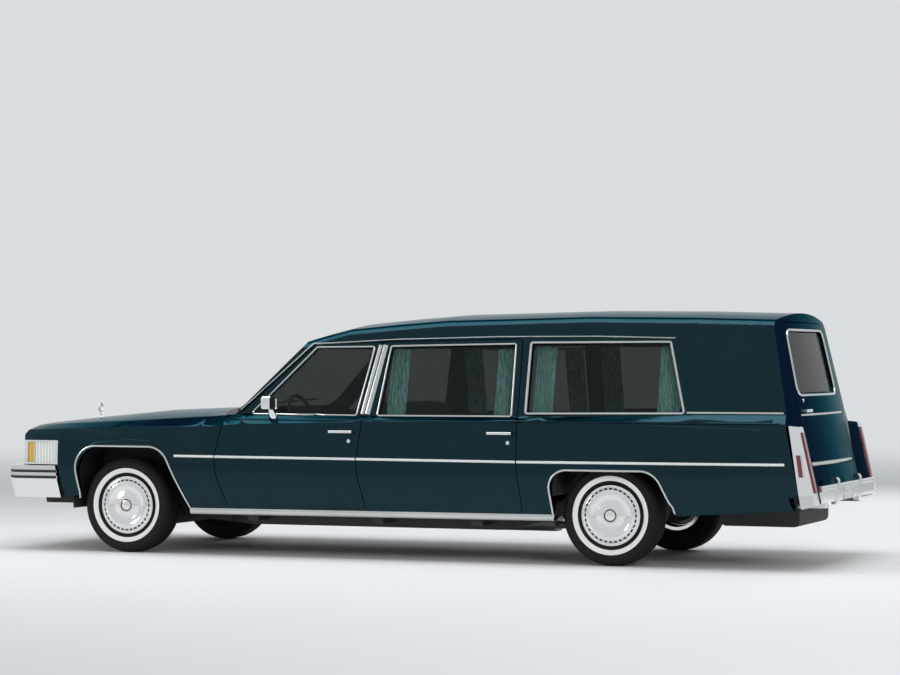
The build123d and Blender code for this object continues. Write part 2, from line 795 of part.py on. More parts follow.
def make_wheel(x, y):
    """Steel rim with its disc and a domed full cover, bored for its spindle."""
    bore = SPINDLE_RADIUS + BORE_FIT
    points = [
        (bore, -DISC_BACK),
        (HUB_RADIUS, -DISC_BACK),
        (HUB_RADIUS, 10),
        (RIM_RADIUS - 22, 20, 12),
        (RIM_RADIUS - 22, -RIM_HALF),
        (RIM_RADIUS, -RIM_HALF),
        (RIM_RADIUS, RIM_HALF),
        (COVER_RADIUS, RIM_HALF + 4),
        (COVER_RADIUS, RIM_HALF + 12, 4),
        (RIM_RADIUS - 10, RIM_HALF + 10),
        (150, RIM_HALF + 22, 12),
        (96, RIM_HALF + 10, 10),
        (64, RIM_HALF + 26, 10),
        (0, RIM_HALF + 30),
        (0, 30),
        (bore, 30),
    ]
    return revolve_y(points, x, y, TYRE_RADIUS)


def make_knuckle(x, kingpin_y, wheel_y):
    """Left steering knuckle: upright, brake drum and spindle."""
    z = TYRE_RADIUS
    upright = block(x - 30, x + 30, kingpin_y - 26, kingpin_y + 26, z - BALL_DROP, z + BALL_DROP)
    drum = rod(x, wheel_y + 24, kingpin_y - 26, z, DRUM_RADIUS)
    spindle = rod(x, wheel_y - 29, wheel_y + 24, z, SPINDLE_RADIUS)
    arm = block(x + 20, x + 146, kingpin_y + 6, kingpin_y + 36, z - 80, z - 54)
    return upright + drum + spindle + arm


BALL_DROP = 135.0
ARM_THICK = 18.0


def make_front_arms(x, kingpin_y):
    """Left upper and lower control arms with the coil spring on the lower one."""
    z = TYRE_RADIUS
    pieces = []
    for inner, low in ((-420.3, z - BALL_DROP - ARM_THICK - SEAT_FIT), (-455.3, z + BALL_DROP + SEAT_FIT)):
        corners = [(x - 150, inner, 12), (x + 150, inner, 12), (x + 34, kingpin_y - 18, 20), (x - 34, kingpin_y - 18, 20)]
        pieces.append(plan_prism(outline(corners), low, low + ARM_THICK))
    spring_low = z - BALL_DROP - SEAT_FIT
    height = SPRING_TOP_Z - spring_low
    spring = Pos(x, -540, spring_low + height / 2) * (Cylinder(54, height) - Cylinder(40, height + 2))
    return Compound(children=[pieces[0] + spring, pieces[1]])


LINK_Y = 400.0


def make_rear_axle():
    """Rear axle housing with its differential, drums, links, springs and shaft."""
    z = TYRE_RADIUS
    y = REAR_TRACK / 2
    tube = rod(X_REAR, -y + 24, y - 24, z, 46)
    gear = Pos(X_REAR, 0, z) * Sphere(150)
    ends = [rod(X_REAR, side * (y - 24), side * (y - 84), z, DRUM_RADIUS) for side in (-1, 1)]
    pins = [rod(X_REAR, side * (y + 29), side * (y - 30), z, SPINDLE_RADIUS) for side in (-1, 1)]
    links = []
    rail_low = 500 - RAIL_HEIGHT / 2
    for side in (-1, 1):
        low, high = side * LINK_Y - 24, side * LINK_Y + 24
        links.append(block(X_REAR - 430, X_REAR, low, high, z - 24, z + 24))
        links.append(block(X_REAR - 432, X_REAR - 372, low, high, z - 24, 432 - 25))
        links.append(Pos(X_REAR, side * 500, (z + rail_low) / 2) * Cylinder(56, rail_low - z))
    return Part() + tube + gear + ends + pins + links


def make_shaft():
    """Propeller shaft from the gearbox to the differential."""
    start = Vector(X_FRONT + 1131, 0, 380)
    end = Vector(X_REAR - 140, 0, TYRE_RADIUS + 6)
    path = Line(start, end)
    return sweep(Plane(origin=start, z_dir=end - start) * Circle(38), path=path)


ENGINE_FRONT_X = X_FRONT - 230
ENGINE_LENGTH = 720.0


def make_engine():
    """Plain engine mass with its gearbox."""
    x1 = ENGINE_FRONT_X + ENGINE_LENGTH
    mass = block(ENGINE_FRONT_X, x1, -270, 270, 347, 880)
    mass = chamfer(mass.edges().filter_by(Axis.X), 70)
    box_start = Pos(x1, 0, 430) * Rot(0, 90, 0) * Circle(118)
    box_end = Pos(X_FRONT + 1130, 0, 380) * Rot(0, 90, 0) * Circle(60)
    return mass + loft([box_start, box_end])


RADIATOR_TOP_Z = 905.0


def make_radiator(hood):
    """Radiator core in its support, with two rests under the hood."""
    x = X_NOSE + 190
    core = block(x - 36, x + 36, -340, 340, 407, 900)
    side = block(x - 20, x + 20, -370, 370, 407, 460)
    rests = [block(x - 16, x + 16, y - 16, y + 16, 880, 960) for y in (-290, 290)]
    above = block(x - 60, x + 60, -400, 400, RADIATOR_TOP_Z, 990)
    return (Part() + core + side + rests) - Pos(0, 0, -SEAT_FIT) * hood - above


def make_exhaust():
    """Pipe and silencer along the right side, clamped under a crossmember."""
    corners = [
        (X_FRONT + 420, 330, 330),
        (X_FRONT + 700, 330, 194),
        (X_REAR - 700, 330, 194),
        (X_REAR - 480, 330, 222),
    ]
    path = FilletPolyline(*corners, radius=60)
    pipe = sweep(Plane(origin=path @ 0, z_dir=path % 0) * Circle(27), path=path)
    can = Pos(X_REAR - 1080, 330, 205) * Box(600, 200, 110)
    can = fillet(can.edges().filter_by(Axis.X), 50)
    clamp = block(X_REAR - 1520, X_REAR - 1480, 315, 345, 205, 227)
    return pipe + can + clamp


def make_tank():
    """Fuel tank slung behind the rear axle."""
    tank = block(X_REAR + 640, X_TAIL - 250, -420, 420, 262, 405)
    tank = fillet(tank.edges().filter_by(Axis.Y), 40)
    return tank


# Cabin pieces
SEAT_X = X_FRONT + 1250
SEAT_Y = 700.0


def make_seat():
    """Full-width front bench: plinth, cushion and leaning back."""
    plinth = block(SEAT_X + 40, SEAT_X + 480, -SEAT_Y + 60, SEAT_Y - 60, TUNNEL_Z, TUNNEL_Z + 16)
    cushion = block(SEAT_X, SEAT_X + 540, -SEAT_Y, SEAT_Y, TUNNEL_Z + 16, TUNNEL_Z + 140)
    cushion = fillet(cushion.edges().filter_by(Axis.Y), 40)
    back = side_prism(
        outline(
            [
                (SEAT_X + 430, TUNNEL_Z + 110, 30),
                (SEAT_X + 570, TUNNEL_Z + 90, 30),
                (SEAT_X + 690, TUNNEL_Z + 560, 40),
                (SEAT_X + 590, TUNNEL_Z + 570, 40),
            ]
        ),
        -SEAT_Y,
        SEAT_Y,
    )
    legs = [
        block(SEAT_X + 60, SEAT_X + 460, side * (SEAT_Y - 90) - 20, side * (SEAT_Y - 90) + 20, FLOOR_Z + FLOOR_THICK, TUNNEL_Z + 20)
        for side in (-1, 1)
    ]
    return Part() + plinth + cushion + back + legs


WHEEL_TILT = 22.0
COLUMN_Y = -380.0


COLUMN_AT = Location((X_FRONT + 1180, COLUMN_Y, 950), (0, -90 - WHEEL_TILT, 0))


def make_column(grow=0.0):
    """Steering column that enters the dashboard."""
    return COLUMN_AT * (Pos(0, 0, 130 + grow / 2) * Cylinder(24 + grow, 260 + grow))


def make_steering_wheel():
    """Two-spoke steering wheel with its column."""
    ring = Torus(198, 13)
    hub = Cylinder(46, 34)
    spokes = [Pos(0, side * 110, 0) * Box(34, 190, 14) for side in (-1, 1)]
    return COLUMN_AT * (Part() + ring + hub + spokes) + make_column()


def make_dashboard():
    """Full-width dashboard with its instrument hood."""
    face = outline(
        [
            (FIREWALL_X + 16, 700, 0),
            (X_FRONT + 940, 700, 40),
            (X_FRONT + 1000, 860, 40),
            (X_FRONT + 960, 934, 30),
            (FIREWALL_X + 16, 934, 0),
        ]
    )
    return side_prism(face, -CABIN_Y + 106, CABIN_Y - 106)


# Front and rear ends
BUMPER_LOW_Z = 388.0
BUMPER_HIGH_Z = 622.0
BUMPER_DEPTH = 74.0


def lamp_openings(spans, x_ends, sink):
    """Boxes of some lamp openings, from (low, high) spans, shrunk by a fit."""
    low = LAMP_LOW_Z + LAMP_RIM + sink
    high = LAMP_HIGH_Z - LAMP_RIM - sink
    if x_ends:
        return [block(*x_ends, -b + sink, -a - sink, low, high) for a, b in spans]
    return [block(a + sink, b - sink, -WIDE, -HALF_WIDTH + 110, low, high) for a, b in spans]


HEADLAMPS_Y = [(LAMP_INNER_Y + LAMP_RIM, 594), (606, 800)]
CORNER_LAMP_X = [(LAMP_REAR_X - 200, LAMP_REAR_X - 26)]
AMBER_X = [(LAMP_REAR_X - 262, LAMP_REAR_X - 206)]
HEADLAMP_ENDS = (X_NOSE - 50, X_NOSE + 230)
LENS_SINK = 6.0
LENS_PANE = 14.0


def lamp_recess(spans, x_ends, fit=0.0):
    """Openings in the left lamp housing, as deep as the lens behind its rim."""
    boxes = lamp_openings(spans, x_ends, fit)
    if x_ends:
        return Part() + boxes & ahead_of_nose(LENS_SINK + LENS_PANE)
    return Part() + boxes - lower_body(LENS_SINK + LENS_PANE)


BUMPER_END_LEAN = 0.138
BUMPER_TUCK = 30.0
STRIP_DEPTH = 11.0
BUMPER_STEPS = [(548, 568), (590, BUMPER_HIGH_Z)]
BUMPER_GROOVES = [(524, 548), (568, 590)]
BUMPER_PLATE_Z = (BUMPER_LOW_Z, 524)


def bumper_end(z):
    """Where the front bumper's side arm ends, at a height."""
    return X_NOSE + 473 + BUMPER_END_LEAN * (BUMPER_HIGH_Z - z)


def bumper_plan(outer_in, inner_in, end):
    """Plan view of the wrap-round front bumper, its two faces moved in."""
    bow = bow_offset(HALF_WIDTH - 80, 56, 900)
    tip = X_NOSE + outer_in
    y = HALF_WIDTH - 26 - outer_in
    side = tip + bow
    back_tip = X_NOSE + inner_in + BUMPER_DEPTH
    back_y = HALF_WIDTH - 26 - inner_in - BUMPER_DEPTH
    back_side = back_tip + bow
    turn_x = back_side + 110 - BUMPER_DEPTH
    turn_y = back_y + BUMPER_DEPTH - 130
    edges = [
        ThreePointArc((side, -y + 70), (tip, 0), (side, y - 70)),
        Line((side, y - 70), (side + 70, y)),
        Line((side + 70, y), (end, y)),
        Line((end, y), (end, back_y)),
        Line((end, back_y), (turn_x, back_y)),
        Line((turn_x, back_y), (back_side, turn_y)),
        ThreePointArc((back_side, turn_y), (back_tip, 0), (back_side, -turn_y)),
        Line((back_side, -turn_y), (turn_x, -back_y)),
        Line((turn_x, -back_y), (end, -back_y)),
        Line((end, -back_y), (end, -y)),
        Line((end, -y), (side + 70, -y)),
        Line((side + 70, -y), (side, -y + 70)),
    ]
    return make_face(edges)


def bumper_layer(low, high, inset_low, inset_high, inner_low=0.0, inner_high=0.0):
    """One layer of the front bumper between two heights."""
    faces = [
        Plane.XY.offset(low) * bumper_plan(inset_low, inner_low, bumper_end(low)),
        Plane.XY.offset(high) * bumper_plan(inset_high, inner_high, bumper_end(high)),
    ]
    return loft(faces, ruled=True)


def make_front_bumper():
    """Wrap-round front bumper with two recessed strips, on two brackets."""
    layers = [bumper_layer(low, high, 0, 0) for low, high in BUMPER_STEPS]
    layers += [bumper_layer(low, high, STRIP_DEPTH, STRIP_DEPTH) for low, high in BUMPER_GROOVES]
    layers.append(bumper_layer(*BUMPER_PLATE_Z, BUMPER_TUCK, 2, 8, 0))
    arms = [
        block(X_NOSE + 54, X_NOSE + 120, side_y - 40, side_y + 40, 340, 404)
        for side_y in (-420, 420)
    ]
    return Part() + layers + arms


GATE_PADS = [(860, 930), (1380, 1450)]


def gate_pads(slab):
    """Hinge seats beside the rear door's right edge."""
    gap = rear_slot(REAR_DOOR_FACE, PANEL_GAP / 2 + 4) - rear_slot(REAR_DOOR_FACE, -PANEL_GAP / 2 + SEAT_FIT)
    pads = []
    for low, high in GATE_PADS:
        pads += (gap & slab & block(0, X_TAIL, 500, 660, low, high)).solids()
    return pads


GATE_HANDLE_Y = -470.0
GATE_HANDLE_Z = 1050.0
GATE_LOCK_Z = 1118.0


def make_gate_hardware():
    """Handle and lock that stand on the rear door."""
    face = rear_face_x(GATE_HANDLE_Y, GATE_HANDLE_Z)
    half = 80
    low_y, high_y = GATE_HANDLE_Y - half, GATE_HANDLE_Y + half
    bar = block(face + 22, face + 36, low_y, high_y, GATE_HANDLE_Z - 10, GATE_HANDLE_Z + 10)
    bar = fillet(bar.edges().filter_by(Axis.Y), 4)
    posts = [
        block(face - 60, face + 30, y - 11, y + 11, GATE_HANDLE_Z - 8, GATE_HANDLE_Z + 8)
        for y in (low_y + 16, high_y - 16)
    ]
    lock_face = rear_face_x(GATE_HANDLE_Y, GATE_LOCK_Z)
    lock = Pos(lock_face - 20, GATE_HANDLE_Y, GATE_LOCK_Z) * Rot(0, 90, 0) * Cylinder(LOCK_RADIUS, 54)
    return [Part() + bar + posts, lock]


REAR_SILL_Z = 484.0
REAR_BUMPER_LOW = 440.0
REAR_BUMPER_HIGH = 560.0
PLATE_Z = 500.0
PLATE_HOLE = 3.5
PLATE_HOLES_Y = (-88.9, 88.9)
REAR_BUMPER_X = X_TAIL - 56
REAR_BUMPER_Y = 790.0
REAR_BAR_FACE = [
    (REAR_BUMPER_X, REAR_BUMPER_LOW, 10),
    (REAR_BUMPER_X, REAR_BUMPER_HIGH, 14),
    (X_TAIL - 2, REAR_BUMPER_HIGH, 12),
    (X_TAIL - 2, REAR_BUMPER_HIGH - 26, 3),
    (X_TAIL - 8, REAR_BUMPER_HIGH - 32, 0),
    (X_TAIL - 8, REAR_BUMPER_LOW + 24, 0),
    (X_TAIL - 16, REAR_BUMPER_LOW, 10),
]
GUARD_Y = 330.0
GUARD_HALF = 34.0
REAR_GUARD_FACE = [
    (REAR_BUMPER_X + 10, REAR_BUMPER_LOW - 20, 6),
    (REAR_BUMPER_X + 10, REAR_BUMPER_HIGH + 40, 6),
    (X_TAIL - 14, REAR_BUMPER_HIGH + 40, 10),
    (X_TAIL, REAR_BUMPER_HIGH + 22, 8),
    (X_TAIL, REAR_BUMPER_LOW + 8, 8),
    (X_TAIL - 14, REAR_BUMPER_LOW - 20, 6),
]


def make_rear_bumper():
    """Rolled rear bumper with two guards, on frame brackets."""
    face = X_TAIL - 8
    bar = side_prism(outline(REAR_BAR_FACE), -REAR_BUMPER_Y, REAR_BUMPER_Y)
    guards = []
    for side in (-1, 1):
        guard = side_prism(outline(REAR_GUARD_FACE), side * GUARD_Y - GUARD_HALF, side * GUARD_Y + GUARD_HALF)
        guards.append(guard)
    arms = [
        block(X_TAIL - 236, REAR_BUMPER_X + 10, side * 500 - 30, side * 500 + 30, REAR_BUMPER_LOW - 40, REAR_BUMPER_LOW + 30)
        for side in (-1, 1)
    ]
    holes = [Pos(face, y, PLATE_Z) * Rot(0, 90, 0) * Cylinder(PLATE_HOLE, 44) for y in PLATE_HOLES_Y]
    return (Part() + bar + guards + arms) - holes


FIN_TOP_Y = 914.0
FIN_LOW_Y = 952.0
FIN_IN_Y = 812.0
FIN_FACE = [
    (X_TAIL - 202, 957, 0),
    (X_TAIL - 131, 951, 18),
    (X_TAIL - 15, 434, 18),
    (X_TAIL - 111, 410, 12),
]
FIN_CLEAR = [(X_TAIL - 202, 956, 0), (X_TAIL + 60, 956, 0), (X_TAIL + 60, 380, 0), (X_TAIL - 111, 410, 0)]
MARKER_FACE = [(X_TAIL - 148, 765, 3), (X_TAIL - 119, 765, 3), (X_TAIL - 95, 622, 3), (X_TAIL - 124, 622, 3)]
MARKER_RIM = 7.0
MARKER_DEPTH = 8.0
LENS_THICK = 9.0
SHIELD_WINDOW = [(-806, 1046, 60), (806, 1046, 60), (704, 1472, 60), (-704, 1472, 60)]


def shield_prism(grow):
    """Prism of the windshield opening along the car."""
    return rear_prism(outline(grown(SHIELD_WINDOW, grow)), X_FRONT + 500, X_FRONT + 1700)


def fin_body(grow=0.0):
    """Left tail fin that leans outwards to its foot, without its lens seats."""
    across = outline(
        [
            (-FIN_IN_Y + grow, 380),
            (-FIN_IN_Y + grow, 980),
            (-FIN_TOP_Y - grow, 980),
            (-FIN_LOW_Y - grow, 500),
            (-FIN_LOW_Y - grow, 380),
        ]
    )
    face = outline(grown(FIN_FACE, grow)) if grow else outline(FIN_FACE)
    return side_prism(face, -WIDE, 0) & rear_prism(across, X_TAIL - 300, X_TAIL + 60)


def marker_prism(grow, depth):
    """Side marker outline sunk into the fin's outer side."""
    return side_prism(outline(grown(MARKER_FACE, grow)), -FIN_LOW_Y - 40, -FIN_TOP_Y + 6 + depth)


def make_fin():
    """Left tail fin with a rimmed pocket for its side marker."""
    rim = marker_prism(MARKER_RIM, 0) & fin_body(4)
    return fin_body() + rim - marker_prism(0, MARKER_DEPTH)


def make_lens():
    """Left tail lens on the fin's rear face."""
    top_x, top_z = FIN_FACE[1][:2]
    low_x, low_z = FIN_FACE[2][:2]

    def at(share, out):
        return (top_x + share * (low_x - top_x) + out, top_z + share * (low_z - top_z))

    face = outline([(*at(0.07, 0), 0), (*at(0.07, LENS_THICK), 0), (*at(0.84, LENS_THICK), 0), (*at(0.84, 0), 0)])
    strip = side_prism(face, -FIN_TOP_Y + 26, -FIN_IN_Y - 26)
    marker = marker_prism(-SEAT_FIT, MARKER_DEPTH - SEAT_FIT) & fin_body(2)
    return Compound(children=[strip, marker])


GRILLE_HALF = 350.0
GRILLE_LOW = 630.0
GRILLE_HIGH = 884.0


def make_grille():
    """Upright cross-hatched grille in its frame."""
    x0 = X_NOSE + 46
    x1 = X_NOSE + 114
    ring = block(x0, x1, -GRILLE_HALF, GRILLE_HALF, GRILLE_LOW, GRILLE_HIGH)
    ring = ring - block(x0 - 5, x1 + 5, -GRILLE_HALF + 20, GRILLE_HALF - 20, GRILLE_LOW + 20, GRILLE_HIGH - 44)
    bars = []
    for step in range(1, 12):
        y = -GRILLE_HALF + 20 + step * (2 * GRILLE_HALF - 40) / 12
        bars.append(block(x0 + 6, x1 - 30, y - 3, y + 3, GRILLE_LOW + 10, GRILLE_HIGH - 30))
    for step in range(1, 6):
        z = GRILLE_LOW + 20 + step * (GRILLE_HIGH - GRILLE_LOW - 64) / 6
        bars.append(block(x0 + 6, x1 - 30, -GRILLE_HALF + 10, GRILLE_HALF - 10, z - 3, z + 3))
    return Part() + ring + bars


def make_pane(window):
    """Left side glass: a flat leaning sheet inside its window opening."""
    low, high = BELT_Z - 40, DRIP_RAIL_Z + 40
    low_y = -green_y(low) + GLASS_DEPTH
    high_y = -green_y(high) + GLASS_DEPTH
    across = GLASS_THICK * math.hypot(1, SIDE_LEAN)
    sheet = outline([(low_y, low), (low_y + across, low), (high_y + across, high), (high_y, high)])
    return rear_prism(sheet, X_FRONT, X_TAIL) & window_prism(window, -GLASS_FIT)


TRACK_DEPTH = 26.0
TRACK_HEIGHT = 14.0
CURTAIN_THICK = 20.0
CURTAIN_LOW_Z = BELT_Z - 10


def lean_strip(x0, x1, z0, z1, gap, thick):
    """A leaning strip that lies a gap inside the left wall, thick across the car."""
    low_y = -green_y(z0) + ROOF_THICK + gap
    high_y = -green_y(z1) + ROOF_THICK + gap
    across = outline([(low_y, z0), (low_y + thick, z0), (high_y + thick, z1), (high_y, z1)])
    return rear_prism(across, x0, x1)


def make_track(x0, x1, z):
    """Curtain track along the top of a left window, sunk into the wall behind."""
    return lean_strip(x0, x1, z, z + TRACK_HEIGHT, -14, TRACK_DEPTH + 14)


def make_curtain(x0, x1, track_z):
    """A closed soft solid for one gathered curtain under its track."""
    return lean_strip(x0, x1, CURTAIN_LOW_Z, track_z - SEAT_FIT, 5, CURTAIN_THICK)


REAR_TRACK_Z = 1468.0
QUARTER_TRACK_Z = 1486.0


def main():
    """Build and write every node."""
    os.makedirs("parts", exist_ok=True)
    outer, middle, cabin, bay = build_shells()
    skin = outer - middle
    core = (middle & outer) - cabin

    nose_cut = block(X_NOSE - 50, X_NOSE + 200, -NOSE_PANEL_Y, NOSE_PANEL_Y, 0, 2000)
    lamp_box = block(X_NOSE - 50, LAMP_REAR_X, -WIDE, -LAMP_INNER_Y, LAMP_LOW_Z, LAMP_HIGH_Z)
    lamp_cut = block(
        X_NOSE - 50,
        LAMP_REAR_X + SEAT_FIT,
        -WIDE,
        -LAMP_INNER_Y + SEAT_FIT,
        LAMP_LOW_Z - SEAT_FIT,
        LAMP_HIGH_Z + SEAT_FIT,
    )
    bumper_top = BUMPER_HIGH_Z + 4
    clear = LAMP_REAR_X + SEAT_FIT - bumper_end(bumper_top)
    bumper_side = [
        (X_NOSE - 50, 0),
        (bumper_end(0) + clear, 0),
        (bumper_end(bumper_top) + clear, bumper_top),
        (X_NOSE - 50, bumper_top),
    ]
    bumper_cut = side_prism(outline(bumper_side), -WIDE, WIDE)
    hood_face = hood_outline()
    hood_cut = plan_prism(offset(hood_face, amount=PANEL_GAP / 2), 850, 1400)
    front_solid = outer - bay

    hood = front_solid & plan_prism(offset(hood_face, amount=-PANEL_GAP / 2), 860, 1400)
    hood = solids_over(hood, 1e5)
    export(hood, "hood")

    fender = make_fenders(outer, bay, cabin, hood_cut, nose_cut, lamp_cut) - bumper_cut
    fender = solids_over(fender, 1e6)
    well = make_well(X_FRONT, FRONT_WELL, FRONT_WELL_Y, 314) & middle
    well = well - block(X_FRONT - 200, X_FRONT + 200, -520, -440, 0, 560)
    fender = fender + well
    export(pair(fender), "front_fenders")

    nose = (front_solid & nose_cut) & block(X_NOSE, 0, -WIDE, WIDE, 500, 2000)
    grille_y = GRILLE_HALF + SEAT_FIT
    nose = nose - hood_cut
    nose = nose - block(X_NOSE, 0, -grille_y, grille_y, GRILLE_LOW - SEAT_FIT, GRILLE_HIGH + SEAT_FIT)
    panel_y = NOSE_PANEL_Y - SEAT_FIT
    nose = nose & block(X_NOSE, 0, -panel_y, panel_y, 500, GREEN_TOP)
    export(solids_over(nose, 1e4), "nose_panel")
    export(make_grille(), "grille")
    housing = front_solid & lamp_box
    headlamps = lamp_recess(HEADLAMPS_Y, HEADLAMP_ENDS, SEAT_FIT) - ahead_of_nose(LENS_SINK)
    side_skin = lower_body(LENS_SINK)
    corner_lamp = lamp_recess(CORNER_LAMP_X, None, SEAT_FIT) & side_skin
    amber = lamp_recess(AMBER_X, None, SEAT_FIT) & side_skin
    housing = housing - lamp_recess(HEADLAMPS_Y, HEADLAMP_ENDS) - lamp_recess(CORNER_LAMP_X + AMBER_X, None)
    export(pair(solids_over(housing, 1e5)), "front_lamps")
    export(pair(Part() + headlamps + corner_lamp), "lamp_lenses")
    export(pair(amber), "front_markers")
    export(make_front_bumper(), "front_bumper")

    front_handle = make_handle(X_REAR - 1940, HALF_WIDTH - 20)
    rear_handle = make_handle(X_REAR - 760, HALF_WIDTH - 20)
    front_door = make_door(skin, core, FRONT_DOOR, FRONT_WINDOW, Part())
    front_door = front_door - block(X_FRONT + 600, X_FRONT + 1100, -COWL_Y - 4, 0, 860, BELT_Z + 20)
    rear_track = make_track(X_REAR - 1760, X_REAR - 690, REAR_TRACK_Z) & door_prism(REAR_DOOR, -RABBET)
    rear_door = make_door(skin, core, REAR_DOOR, REAR_WINDOW, rear_track)
    hardware = [("front", front_handle + [make_mirror()], front_door), ("rear", rear_handle, rear_door)]
    curtain_low = [(X_REAR - 1660, X_REAR - 1545), (X_REAR - 835, X_REAR - 720)]
    for side, turn in (("left", lambda s: s), ("right", swap_side)):
        export(turn(front_door), f"door_front_{side}")
        export(turn(rear_door), f"door_rear_{side}")
        export(turn(make_pane(FRONT_WINDOW)), f"glass_front_{side}")
        export(turn(make_pane(REAR_WINDOW)), f"glass_rear_{side}")
        drapes = [make_curtain(a, b, REAR_TRACK_Z) for a, b in curtain_low]
        export(Compound(children=[turn(d) for d in drapes]), f"curtains_rear_{side}")
        for place, pieces, door in hardware:
            seated = [solids_over(piece - door, 1e3) for piece in pieces]
            export(Compound(children=[turn(piece) for piece in seated]), f"door_hardware_{place}_{side}")

    openings = []
    inner_cuts = []
    for face in (FRONT_DOOR, REAR_DOOR):
        openings.append(door_prism(face, PANEL_GAP / 2))
        inner_cuts.append(door_prism(face, -RABBET + RABBET_GAP))
    open_skin = skin - openings
    open_core = core - inner_cuts
    both_layers = (open_skin & side_region(X_NOSE, X_TAIL, 0, GREEN_TOP)) + (
        open_core & side_region(X_NOSE, X_TAIL, 0, GREEN_TOP)
    )
    rear_slab = behind_rear(REAR_THICK)
    quarter_x = X_REAR - 690
    side_zone = side_region(FIREWALL_X, quarter_x, 0, BELT_Z - 4) + side_region(
        X_REAR - 1900, X_REAR - 1600, 0, 1478
    )
    side_frame = (both_layers & side_zone) - fender
    side_frame = solids_over(side_frame, 1e6)
    for corners, edge_x in ((FRONT_DOOR, X_FRONT + 760), (REAR_DOOR, X_REAR - 1810)):
        side_frame = side_frame + door_pads(corners, edge_x)
    export(pair(side_frame), "side_frames")

    quarter_zone = side_region(quarter_x, X_TAIL, 0, DRIP_RAIL_Z)
    fin_room = fin_body(SEAT_FIT) + side_prism(outline(FIN_CLEAR), -WIDE, -FIN_IN_Y)
    quarter = (both_layers & quarter_zone) - rear_slab - fin_room
    quarter = quarter - window_prism(QUARTER_WINDOW) - arch_prism(X_REAR, REAR_ARCH, -WIDE, -600)
    quarter = solids_over(quarter, 1e6)
    well_corners = grown([(X_REAR + dx, z, r) for dx, z, r in REAR_WELL], -WELL_WALL)
    quarter = quarter - side_prism(outline(well_corners), -HALF_WIDTH + FENDER_THICK, -600)
    quarter = quarter + (make_well(X_REAR, REAR_WELL, WELL_Y, 470) & middle)
    quarter = quarter + make_track(X_REAR - 620, X_REAR + 440, QUARTER_TRACK_Z)
    export(pair(quarter), "quarter_panels")
    export(pair(make_pane(QUARTER_WINDOW)), "quarter_glass")
    quarter_spans = ((X_REAR - 570, X_REAR - 440), (X_REAR + 330, X_REAR + 460))
    drapes = [make_curtain(a, b, QUARTER_TRACK_Z) for a, b in quarter_spans]
    export(pair(Compound(children=drapes)), "quarter_curtains")

    roof_zone = block(X_FRONT + 560, X_TAIL, -WIDE, WIDE, BELT_Z - 4, GREEN_TOP)
    roof = (skin & roof_zone) - openings - [swap_side(cut) for cut in openings]
    roof_core = (core & roof_zone) - inner_cuts - [swap_side(cut) for cut in inner_cuts]
    roof = roof + roof_core - rear_slab - shield_prism(0) - lower_body()
    for zone in (quarter_zone, side_zone):
        roof = roof - zone - swap_side(zone)
    export(solids_over(roof, 1e6), "roof")
    shield = ahead_of_shield(14 + GLASS_THICK) - ahead_of_shield(14)
    export(shield & shield_prism(-GLASS_FIT), "windshield")

    slab = (outer & rear_slab)
    gate = slab & rear_slot(REAR_DOOR_FACE, -PANEL_GAP / 2)
    frame_ring = slab - rear_slot(REAR_DOOR_FACE, PANEL_GAP / 2)
    frame_ring = frame_ring & block(0, X_TAIL, -WIDE, WIDE, REAR_SILL_Z, GREEN_TOP)
    frame_ring = frame_ring - fin_room - swap_side(fin_room)
    export(solids_over(frame_ring, 1e6) + gate_pads(slab), "rear_frame")
    gate_glass = (behind_rear(22) - behind_rear(16)) & rear_slot(REAR_GLASS_FACE, -GLASS_FIT)
    gate = gate - rear_slot(REAR_GLASS_FACE)
    export(gate, "rear_door")
    gate_pieces = [solids_over(piece - gate, 1e3) for piece in make_gate_hardware()]
    export(Compound(children=gate_pieces), "gate_hardware")
    export(gate_glass, "rear_glass")

    export(make_underbody() + make_cowl(hood_cut), "underbody")
    export(make_deck(), "load_deck")
    export(make_frame(), "frame")
    export(make_rear_bumper(), "rear_bumper")
    export(pair(make_fin()), "tail_fins")
    export(pair(make_lens()), "tail_lenses")
    export(make_engine(), "engine")
    export(make_radiator(hood), "radiator")
    export(make_exhaust(), "exhaust")
    export(make_tank(), "fuel_tank")
    export(make_seat(), "front_seat")
    export(make_dashboard() - make_column(SEAT_FIT), "dashboard")
    export(make_steering_wheel(), "steering_wheel")
    kingpin = -FRONT_TRACK / 2 + KINGPIN_INSET
    export(pair(make_front_arms(X_FRONT, kingpin)), "front_suspension")
    export(make_rear_axle() + make_shaft(), "rear_axle")
    for place, x, y in (("front", X_FRONT, FRONT_TRACK / 2), ("rear", X_REAR, REAR_TRACK / 2)):
        for side, turn in (("left", lambda s: s), ("right", swap_side)):
            export(turn(make_wheel(x, -y)), f"wheel_{place}_{side}")
            export(turn(make_tyre(x, -y)), f"tyre_{place}_{side}")
    knuckle = make_knuckle(X_FRONT, kingpin, -FRONT_TRACK / 2)
    export(knuckle, "knuckle_left")
    export(swap_side(knuckle), "knuckle_right")


main()
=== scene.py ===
# Looks of the hearse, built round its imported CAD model.
import json
import math

import bmesh
import bpy
from mathutils import Matrix, Vector
from mathutils.bvhtree import BVHTree


